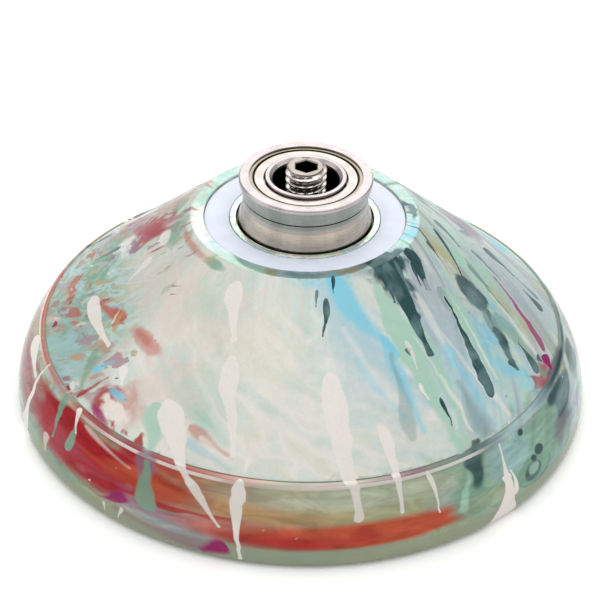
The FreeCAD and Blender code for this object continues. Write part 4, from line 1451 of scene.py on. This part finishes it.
def seat_metal(dyes):
    """Polished metal of the lip and the seat, with the tints of thin dye; the recess, the hole and the post
    are painted black as shade.
    """
    material, bench, shader = new_material("polished_seat")
    radius, height = bench.turned_place()
    patches = bench.noise(bench.millimetres(), 0.55, detail=3.0, roughness=0.6)
    lines = bench.noise(bench.join(radius, height), 6.0, detail=4.0, roughness=0.7)
    tone = dye_row(bench, patches, *MID_NOISE, dyes, SEAT_DYES)
    # Painted shade: everything inside the recess wall is painted near-black
    tone = bench.mix(bench.span(radius, SEAT_EDGE, SEAT_EDGE - SEAT_SOFT), tone, SHADE_BLACK)
    roughness = bench.span(lines, *NOISE, 0.16, 0.28)
    dress(bench, shader, tone, roughness, bench.bump(lines, 0.1, FINE_RELIEF * MM))
    shader.inputs["Metallic"].default_value = 0.7
    return material


def cup_metal(dyes):
    """The cup's inside: the same ground with drifting tints and turning marks."""
    material, bench, shader = new_material("dyed_cup")
    radius, height = bench.turned_place()
    drift = bench.noise(bench.millimetres(), 0.12, detail=4.0, roughness=0.6)
    lines = bench.noise(bench.join(radius, height), 3.0, detail=4.0, roughness=0.7)
    tone = dye_row(bench, drift, 0.25, 0.75, dyes, CUP_DYES)
    roughness = bench.span(lines, *NOISE, 0.2, 0.34)
    dress(bench, shader, tone, roughness, bench.bump(lines, 0.12, COARSE_RELIEF * MM))
    shader.inputs["Metallic"].default_value = 0.6
    return material


def finish_of(share_round, drop):
    """The name of the finish that a face of the shell takes."""
    turn = share_round * 360.0 - 180.0
    for band_name, band in BANDS.items():
        for sector_name, (first, last) in band.sectors.items():
            inside = first <= turn < last or first <= turn + 360.0 < last
            if inside and band.start <= drop < band.end:
                return f"dyed_{band_name}_{sector_name}"
    return "polished_seat" if drop < 0.0 else "dyed_cup"


def paint_shell(piece, dyes, length_round, ring_edge):
    """Give the shell its finishes, and each face the one for its place on the chart."""
    chart_size = (length_round / MM, ring_edge / MM)
    finishes = [seat_metal(dyes), cup_metal(dyes)]
    back_washes, back_runs = back_rows()
    washes = (*back_washes, *WASHES)
    runs = (*back_runs, *RUNS)
    for band_name, band in BANDS.items():
        for sector_name, sector in band.sectors.items():
            name = f"dyed_{band_name}_{sector_name}"
            finishes.append(dyed_panel(name, dyes, chart_size, band, sector, washes, runs))
    for finish in finishes:
        piece.data.materials.append(finish)
    numbers = {finish.name: number for number, finish in enumerate(finishes)}
    corners = piece.data.uv_layers[CHART].data
    for face in piece.data.polygons:
        uvs = [corners[index].uv for index in face.loop_indices]
        across = sum(uv.x for uv in uvs) / len(uvs)
        along = sum(uv.y for uv in uvs) / len(uvs)
        face.material_index = numbers[finish_of(across, along * chart_size[0] - chart_size[1])]


# What clouds leave of steel's colour, and how they are drawn out
STEEL_SHADE = 0.82
CLOUD_STRETCH = (1.0, 1.0, 0.1)
# How steel's gloss swings, how faint its marks are, and how softly its tones meet
GLOSS_SWING = 0.08
MARK_STRENGTH = 0.002
TONE_SOFT = 0.05


def turned_steel(name, paint, gloss, marks, shade_rings=(), lower=()):
    """Bright steel with the marks of grinding round the axle, and painted shade in some corners and gaps.

    Each shade ring is (radius, height, width, rise) in millimetres, painted near-black as shade. Each lower
    tone is (height, paint): the steel has that colour from that height down; on the races and the screw these
    tones are painted reflection and shade.
    """
    material, bench, shader = new_material(name)
    radius, height = bench.turned_place()
    section = bench.join(radius, height)
    rings = bench.noise(section, marks, roughness=0.6)
    clouds = bench.noise(bench.scaled(bench.millimetres(), CLOUD_STRETCH), 0.7, detail=3.0)
    patchy = bench.span(clouds, *MID_NOISE)

    def clouded(metal):
        return bench.mix(patchy, shaded(metal, STEEL_SHADE), opaque(metal))

    tone = clouded(paint)
    # Lower tones: painted reflection and shade on some faces, by height
    for limit, metal in lower:
        below = bench.span(height, limit + TONE_SOFT, limit - TONE_SOFT)
        tone = bench.mix(below, tone, clouded(metal))
    # Painted shade: each shade ring darkens a corner or gap to near-black
    for middle_radius, middle_height, width, rise in shade_rings:
        middle = (middle_radius, middle_height, 0.0)
        local = bench.local(section, middle, (0.0, 0.0, 0.0), (width, rise, 1.0))
        across, along, _ = bench.parts(local)
        away = bench.math("MAXIMUM", bench.math("ABSOLUTE", across), bench.math("ABSOLUTE", along))
        tone = bench.mix(bench.span(away, 0.5, 0.4), tone, SHADE_BLACK)
    roughness = bench.span(rings, *NOISE, gloss * (1 - GLOSS_SWING), gloss * (1 + GLOSS_SWING))
    dress(bench, shader, tone, roughness, bench.bump(rings, MARK_STRENGTH, FINE_RELIEF * MM))
    shader.inputs["Metallic"].default_value = 1.0
    return material


# What dust leaves of the silicone's colour, and how deep red, green and blue light go in, in millimetres
DUST_SHADE = 0.94
LIGHT_DEPTH = (1.2, 1.2, 1.4)


def silicone(paint):
    """Soft white silicone with a faint skin and dust."""
    material, bench, shader = new_material("silicone")
    place = bench.millimetres()
    clouds = bench.noise(place, 0.5, detail=3.0)
    pores = bench.noise(place, 6.0, detail=3.0, roughness=0.6)
    tone = bench.mix(bench.span(clouds, *MID_NOISE), opaque(paint), shaded(paint, DUST_SHADE))
    roughness = bench.span(pores, *NOISE, 0.42, 0.58)
    dress(bench, shader, tone, roughness, bench.bump(pores, 0.12, COARSE_RELIEF * MM))
    shader.inputs["Subsurface Weight"].default_value = 0.15
    shader.inputs["Subsurface Radius"].default_value = [depth * MM for depth in LIGHT_DEPTH]
    return material


class YOYO_OT_shell(Operator):
    """Turn the aluminium half and dye it"""

    bl_idname = "yoyo.shell"
    bl_label = "Turn the shell"

    def execute(self, context):
        sizes = context.scene.yoyo_shell
        points = eased(shell_corners(sizes))
        marks = outline_marks(points, False)
        corner = Vector((sizes.ring_radius, sizes.ring_height))
        edge = min(range(len(points)), key=lambda index: (points[index] - corner).length)
        piece = skin("shell", turned_rings(points, TURNED_SIDES), marks)
        paint_shell(piece, context.scene.yoyo_dyes, marks[-1], marks[edge])
        fit(piece, "half", "body", "dyed_shell")
        return {"FINISHED"}


class YOYO_OT_pad(Operator):
    """Mould the silicone ring in the response groove"""

    bl_idname = "yoyo.pad"
    bl_label = "Mould the response pad"

    def execute(self, context):
        sizes = context.scene.yoyo_pad
        corners = [
            (sizes.inner, sizes.floor, 0.0),
            (sizes.outer, sizes.floor, 0.0),
            (sizes.outer, sizes.top, sizes.round),
            (sizes.inner, sizes.top, sizes.round),
        ]
        piece = turned_ring("pad_ring", corners, TURNED_SIDES)
        fit(piece, "half", "response_pad", "silicone", silicone(context.scene.yoyo_metals.silicone))
        return {"FINISHED"}


# The thread's ridge over one pitch: its level at the crest, cut off at 1, and how steeply it falls
RIDGE_LEVEL, RIDGE_FALL = 1.15, 3.1
STEPS_PER_PITCH = 14


def screw_rings(sizes):
    """Rings of points up a threaded screw, over its end and down into the hex socket."""
    turns = [-math.pi + math.tau * step / SCREW_SIDES for step in range(SCREW_SIDES)]
    root = sizes.crest - sizes.thread_depth
    count = round((sizes.top - sizes.foot) / sizes.pitch * STEPS_PER_PITCH)
    rings = [[Vector((0.0, 0.0, sizes.foot))]]

    def ring(radius_at, height):
        points = []
        for turn in turns:
            radius = radius_at(turn)
            points.append(Vector((radius * math.sin(turn), -radius * math.cos(turn), height)))
        return points

    for step in range(count + 1):
        height = sizes.foot + (sizes.top - sizes.foot) * step / count
        end = min(height - sizes.foot, sizes.top - height)
        limit = sizes.crest - sizes.chamfer + end

        def thread(turn):
            way = (height / sizes.pitch - turn / math.tau) % 1.0
            ridge = min(1.0, max(0.0, RIDGE_LEVEL - abs(way - 0.5) * RIDGE_FALL))
            ridge = ridge * ridge * (3 - 2 * ridge)
            return min(limit, root + sizes.thread_depth * ridge)

        rings.append(ring(thread, height))
    half_flats = sizes.socket_flats / 2
    side = math.pi / 3

    def socket(turn):
        return half_flats / math.cos((turn % side) - side / 2)

    rings.append(ring(lambda turn: socket(turn) + sizes.socket_break, sizes.top))
    rings.append(ring(socket, sizes.top - sizes.socket_break))
    rings.append(ring(socket, sizes.top - sizes.socket_depth))
    rings.append([Vector((0.0, 0.0, sizes.top - sizes.socket_depth - half_flats / 2))])
    return rings


class YOYO_OT_axle(Operator):
    """Cut the threaded set screw and its hex socket"""

    bl_idname = "yoyo.axle"
    bl_label = "Cut the axle screw"

    def execute(self, context):
        sizes = context.scene.yoyo_screw
        rings = screw_rings(sizes)
        marks = [float(step) for step in range(len(rings))]
        piece = skin("threaded_axle", rings, marks)
        # Painted shade: the hex socket is painted near-black, and the end face above the chamfer is painted
        # darker than the thread
        pit_floor = sizes.top - 2 * sizes.socket_depth
        pit_top = sizes.top - sizes.socket_break
        shade_rings = ((0.0, (pit_floor + pit_top) / 2 / MM, 2.8, (pit_top - pit_floor) / MM),)
        metals = context.scene.yoyo_metals
        lower = (((sizes.top - sizes.chamfer) / MM, metals.axle),)
        steel = turned_steel("axle_steel", metals.axle_end_shade, gloss=0.25, marks=6.0, shade_rings=shade_rings, lower=lower)
        fit(piece, "half", "axle_screw", "axle_steel", steel)
        return {"FINISHED"}


def on_side(corners, middle, side):
    """A section's corners above the bearing's middle, or below it where side is -1."""
    return [(radius, middle + side * height, rounding) for radius, height, rounding in corners]


def both_sides(corners, middle):
    """A section that is alike above and below the bearing's middle, from its upper corners."""
    return on_side(corners, middle, 1) + on_side(reversed(corners), middle, -1)


class YOYO_OT_races(Operator):
    """Grind the bearing's grooved outer race and its inner race"""

    bl_idname = "yoyo.races"
    bl_label = "Grind the races"

    def execute(self, context):
        sizes = context.scene.yoyo_bearing
        fine = sizes.fine_break
        swing = math.asin(sizes.raceway_edge / sizes.raceway_bow)
        outer_arc = arc((sizes.raceway - sizes.raceway_bow, 0.0), sizes.raceway_bow, swing, 0.0)
        outer = [
            (sizes.track, sizes.track_half, fine),
            (sizes.outer, sizes.track_edge, fine),
            (sizes.outer, sizes.half_width - sizes.edge_break, fine),
            (sizes.outer - sizes.edge_break, sizes.half_width, fine),
            (sizes.seat, sizes.half_width, fine),
            (sizes.seat, sizes.slot_mouth, 0.0),
            (sizes.slot, sizes.slot_mouth, 0.0),
            (sizes.slot, sizes.slot_floor, 0.0),
            (sizes.seat, sizes.slot_floor, 0.0),
            (sizes.seat, sizes.ledge, 0.0),
            (sizes.outer_land, sizes.ledge, fine),
            *outer_arc[:-1],
        ]
        inner_middle = (sizes.inner_raceway + sizes.raceway_bow, 0.0)
        inner_arc = arc(inner_middle, sizes.raceway_bow, math.pi, math.pi - swing)
        inner = [
            *inner_arc[1:],
            (sizes.inner_land, sizes.step, fine),
            (sizes.face, sizes.step, 0.0),
            (sizes.face, sizes.half_width, sizes.fine_break * 2),
            (sizes.bore + sizes.bore_chamfer, sizes.half_width, fine),
            (sizes.bore, sizes.half_width - sizes.bore_chamfer, fine),
        ]
        middle = sizes.middle / MM
        # Painted shade: dark rings in the gap at the shield's seat, down the bore and at the track's upper
        # corner
        shade_rings = (
            (sizes.seat / MM, middle, 0.06, 4.7),
            (sizes.bore / MM, middle, 0.06, 4.1),
            (sizes.track / MM, middle + sizes.track_half / MM, 0.2, 0.16),
        )
        metals = context.scene.yoyo_metals
        # Painted reflection and shade: the track's upper slope is painted darker and its lower slope lighter
        lower = ((middle + sizes.track_edge / MM, metals.upper_track_shade), (middle, metals.lower_track_reflection))
        steel = turned_steel("race_steel", metals.race, gloss=0.28, marks=5.0, shade_rings=shade_rings, lower=lower)
        ring = turned_ring("grooved_race", both_sides(outer, sizes.middle))
        fit(ring, "outer_ring", "outer_race", "race_steel", steel)
        ring = turned_ring("seat_race", both_sides(inner, sizes.middle))
        fit(ring, "half", "inner_race", "race_steel", steel)
        return {"FINISHED"}


class YOYO_OT_shields(Operator):
    """Press the two shields and spring their snap rings in over them"""

    bl_idname = "yoyo.shields"
    bl_label = "Press the shields"

    def execute(self, context):
        sizes = context.scene.yoyo_bearing
        fine = sizes.fine_break
        # Painted shade: a dark ring in the groove at each shield's fold
        shade_rings = ((sizes.shield_fold / MM, sizes.middle / MM, 0.22, 6.0),)
        metals = context.scene.yoyo_metals
        shield_steel = turned_steel("shield_steel", metals.shield, gloss=0.22, marks=3.0, shade_rings=shade_rings)
        spring_steel = turned_steel("spring_steel", metals.spring, gloss=0.22, marks=8.0)
        pressing = [
            (sizes.shield_outer, sizes.ledge, fine),
            (sizes.shield_outer, sizes.slot_floor, fine),
            (sizes.shield_fold, sizes.slot_floor, fine),
            (sizes.shield_web, sizes.slot_floor + sizes.shield_rise, fine),
            (sizes.shield_inner, sizes.slot_floor + sizes.shield_rise, fine),
            (sizes.shield_inner, sizes.ledge + sizes.shield_rise, fine),
            (sizes.shield_web, sizes.ledge + sizes.shield_rise, fine),
            (sizes.shield_fold, sizes.ledge, fine),
        ]
        top = sizes.slot_floor + sizes.snap_thickness
        wire = [
            (sizes.snap_inner, sizes.slot_floor, fine),
            (sizes.snap_outer, sizes.slot_floor, fine),
            (sizes.snap_outer, top, fine),
            (sizes.snap_inner, top, fine),
        ]
        for face, side, facing in (("upper", 1, 0.0), ("lower", -1, math.pi)):
            piece = turned_ring(f"shield_{face}", on_side(pressing, sizes.middle, side))
            fit(piece, "outer_ring", f"{face}_shield", "shield_steel", shield_steel)
            section = on_side(wire, sizes.middle, side)
            piece = turned_ring(f"snap_{face}", section, opening=sizes.snap_opening, facing=facing)
            fit(piece, "outer_ring", f"{face}_snap_ring", "spring_steel", spring_steel)
        return {"FINISHED"}


class YOYO_OT_balls(Operator):
    """Finish the balls and their cage, whose CAD shapes stay"""

    bl_idname = "yoyo.balls"
    bl_label = "Finish the balls and cage"

    def execute(self, context):
        metals = context.scene.yoyo_metals
        ball_steel = turned_steel("ball_steel", metals.ball, gloss=0.08, marks=2.0)
        cage_steel = turned_steel("cage_steel", metals.cage, gloss=0.3, marks=4.0)
        for name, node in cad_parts.items():
            if name.startswith("ball_"):
                finish = cage_steel if name == "ball_cage" else ball_steel
                node.data.materials.clear()
                node.data.materials.append(finish)
        return {"FINISHED"}


class YOYO_OT_stage(Operator):
    """Lay the pale floor, hang the lights and set up the camera"""

    bl_idname = "yoyo.stage"
    bl_label = "Set the stage"

    def execute(self, context):
        stage = context.scene.yoyo_stage
        lay_floor(stage)
        light_world(context.scene)
        hang_lights()
        set_camera(context.scene, stage)
        context.scene.view_settings.view_transform = "Standard"
        return {"FINISHED"}


def lay_floor(stage):
    """A plain pale floor that glows a little."""
    half = stage.floor_size / 2
    corners = [(-half, -half, 0.0), (half, -half, 0.0), (half, half, 0.0), (-half, half, 0.0)]
    mesh = bpy.data.meshes.new("floor")
    mesh.from_pydata(corners, [], [(0, 1, 2, 3)])
    floor = bpy.data.objects.new("floor", mesh)
    bpy.context.scene.collection.objects.link(floor)
    material, _, shader = new_material("floor_paper")
    shader.inputs["Base Color"].default_value = opaque(stage.floor)
    shader.inputs["Roughness"].default_value = 0.9
    shader.inputs["Specular IOR Level"].default_value = 0.1
    shader.inputs["Emission Color"].default_value = opaque(stage.floor)
    shader.inputs["Emission Strength"].default_value = 0.08
    mesh.materials.append(material)


# The light from all round: its strength, and its share from behind the camera and from the far side
WORLD_STRENGTH = 0.62
NEAR_SHARE, FAR_SHARE = 0.75, 1.0


def light_world(scene):
    """Even light from all round, darker towards the camera."""
    world = bpy.data.worlds.new("studio")
    scene.world = world
    world.use_nodes = True
    bench = NodeBench(world.node_tree)
    direction = bench.add("ShaderNodeTexCoord").outputs["Generated"]
    _, depth, height = bench.parts(direction)
    front = bench.span(depth, -1.0, 0.3, NEAR_SHARE, FAR_SHARE)
    above = bench.span(height, 0.1, 0.8)
    level = bench.math("MAXIMUM", front, above)
    background = world.node_tree.nodes["Background"]
    bench.tree.links.new(bench.join(level, level, level), background.inputs["Color"])
    background.inputs["Strength"].default_value = WORLD_STRENGTH


# Each softbox: name, place, width, height and power
SOFTBOXES = (
    ("overhead", (0.0, 0.0, 0.5), 0.5, 0.5, 1.3),
    ("back", (0.0, 0.46, 0.34), 0.7, 0.3, 1.2),
    ("left", (-0.45, 0.0, 0.3), 0.35, 0.35, 0.35),
    ("right", (0.45, 0.0, 0.35), 0.35, 0.35, 0.3),
)
LIT_POINT = Vector((0.0, 0.0, 0.012))


def hang_lights():
    """Large softboxes that face the object."""
    for name, place, width, height, power in SOFTBOXES:
        lamp = bpy.data.lights.new(name, "AREA")
        lamp.shape = "RECTANGLE"
        lamp.energy = power
        lamp.size = width
        lamp.size_y = height
        light = bpy.data.objects.new(name, lamp)
        light.location = place
        light.rotation_euler = (LIT_POINT - Vector(place)).to_track_quat("-Z", "Y").to_euler()
        bpy.context.scene.collection.objects.link(light)


# The camera's sensor, in millimetres, and the nearest thing that it shows, in metres
SENSOR_WIDTH = 36.0
NEAREST = 0.01


def set_camera(scene, stage):
    """The camera at the photograph's angle."""
    data = bpy.data.cameras.new("camera")
    data.sensor_width = SENSOR_WIDTH
    data.lens = stage.lens / MM
    data.clip_start = NEAREST
    camera = bpy.data.objects.new("camera", data)
    place = Matrix.Translation((stage.camera_side, -stage.camera_front, stage.camera_height))
    tilt = Matrix.Rotation(math.pi / 2 - stage.camera_tilt, 4, "X")
    roll = Matrix.Rotation(stage.camera_roll, 4, "Z")
    camera.matrix_world = place @ tilt @ roll
    scene.collection.objects.link(camera)
    scene.camera = camera


class VIEW3D_PT_yoyo(Panel):
    """The steps that make the yo-yo half, in order"""

    bl_label = "Yo-yo half"
    bl_idname = "VIEW3D_PT_yoyo"
    bl_space_type = "VIEW_3D"
    bl_region_type = "UI"
    bl_category = "Yo-yo half"

    def draw(self, context):
        for step in STEPS:
            self.layout.operator(step.bl_idname)


STEPS = (
    YOYO_OT_shell,
    YOYO_OT_pad,
    YOYO_OT_axle,
    YOYO_OT_races,
    YOYO_OT_shields,
    YOYO_OT_balls,
    YOYO_OT_stage,
)
SETTINGS = {
    "yoyo_shell": ShellSizes,
    "yoyo_pad": PadSizes,
    "yoyo_screw": ScrewSizes,
    "yoyo_bearing": BearingSizes,
    "yoyo_dyes": DyeColours,
    "yoyo_metals": MetalColours,
    "yoyo_stage": StageSettings,
}


def register():
    for group in SETTINGS.values():
        bpy.utils.register_class(group)
    for name, group in SETTINGS.items():
        setattr(Scene, name, PointerProperty(type=group))
    for step in STEPS:
        bpy.utils.register_class(step)
    bpy.utils.register_class(VIEW3D_PT_yoyo)


def unregister():
    bpy.utils.unregister_class(VIEW3D_PT_yoyo)
    for step in reversed(STEPS):
        bpy.utils.unregister_class(step)
    for name in SETTINGS:
        delattr(Scene, name)
    for group in reversed(list(SETTINGS.values())):
        bpy.utils.unregister_class(group)


def main():
    register()
    bpy.ops.yoyo.shell()
    bpy.ops.yoyo.pad()
    bpy.ops.yoyo.axle()
    bpy.ops.yoyo.races()
    bpy.ops.yoyo.shields()
    bpy.ops.yoyo.balls()
    bpy.ops.yoyo.stage()


if __name__ == "__main__":
    main()
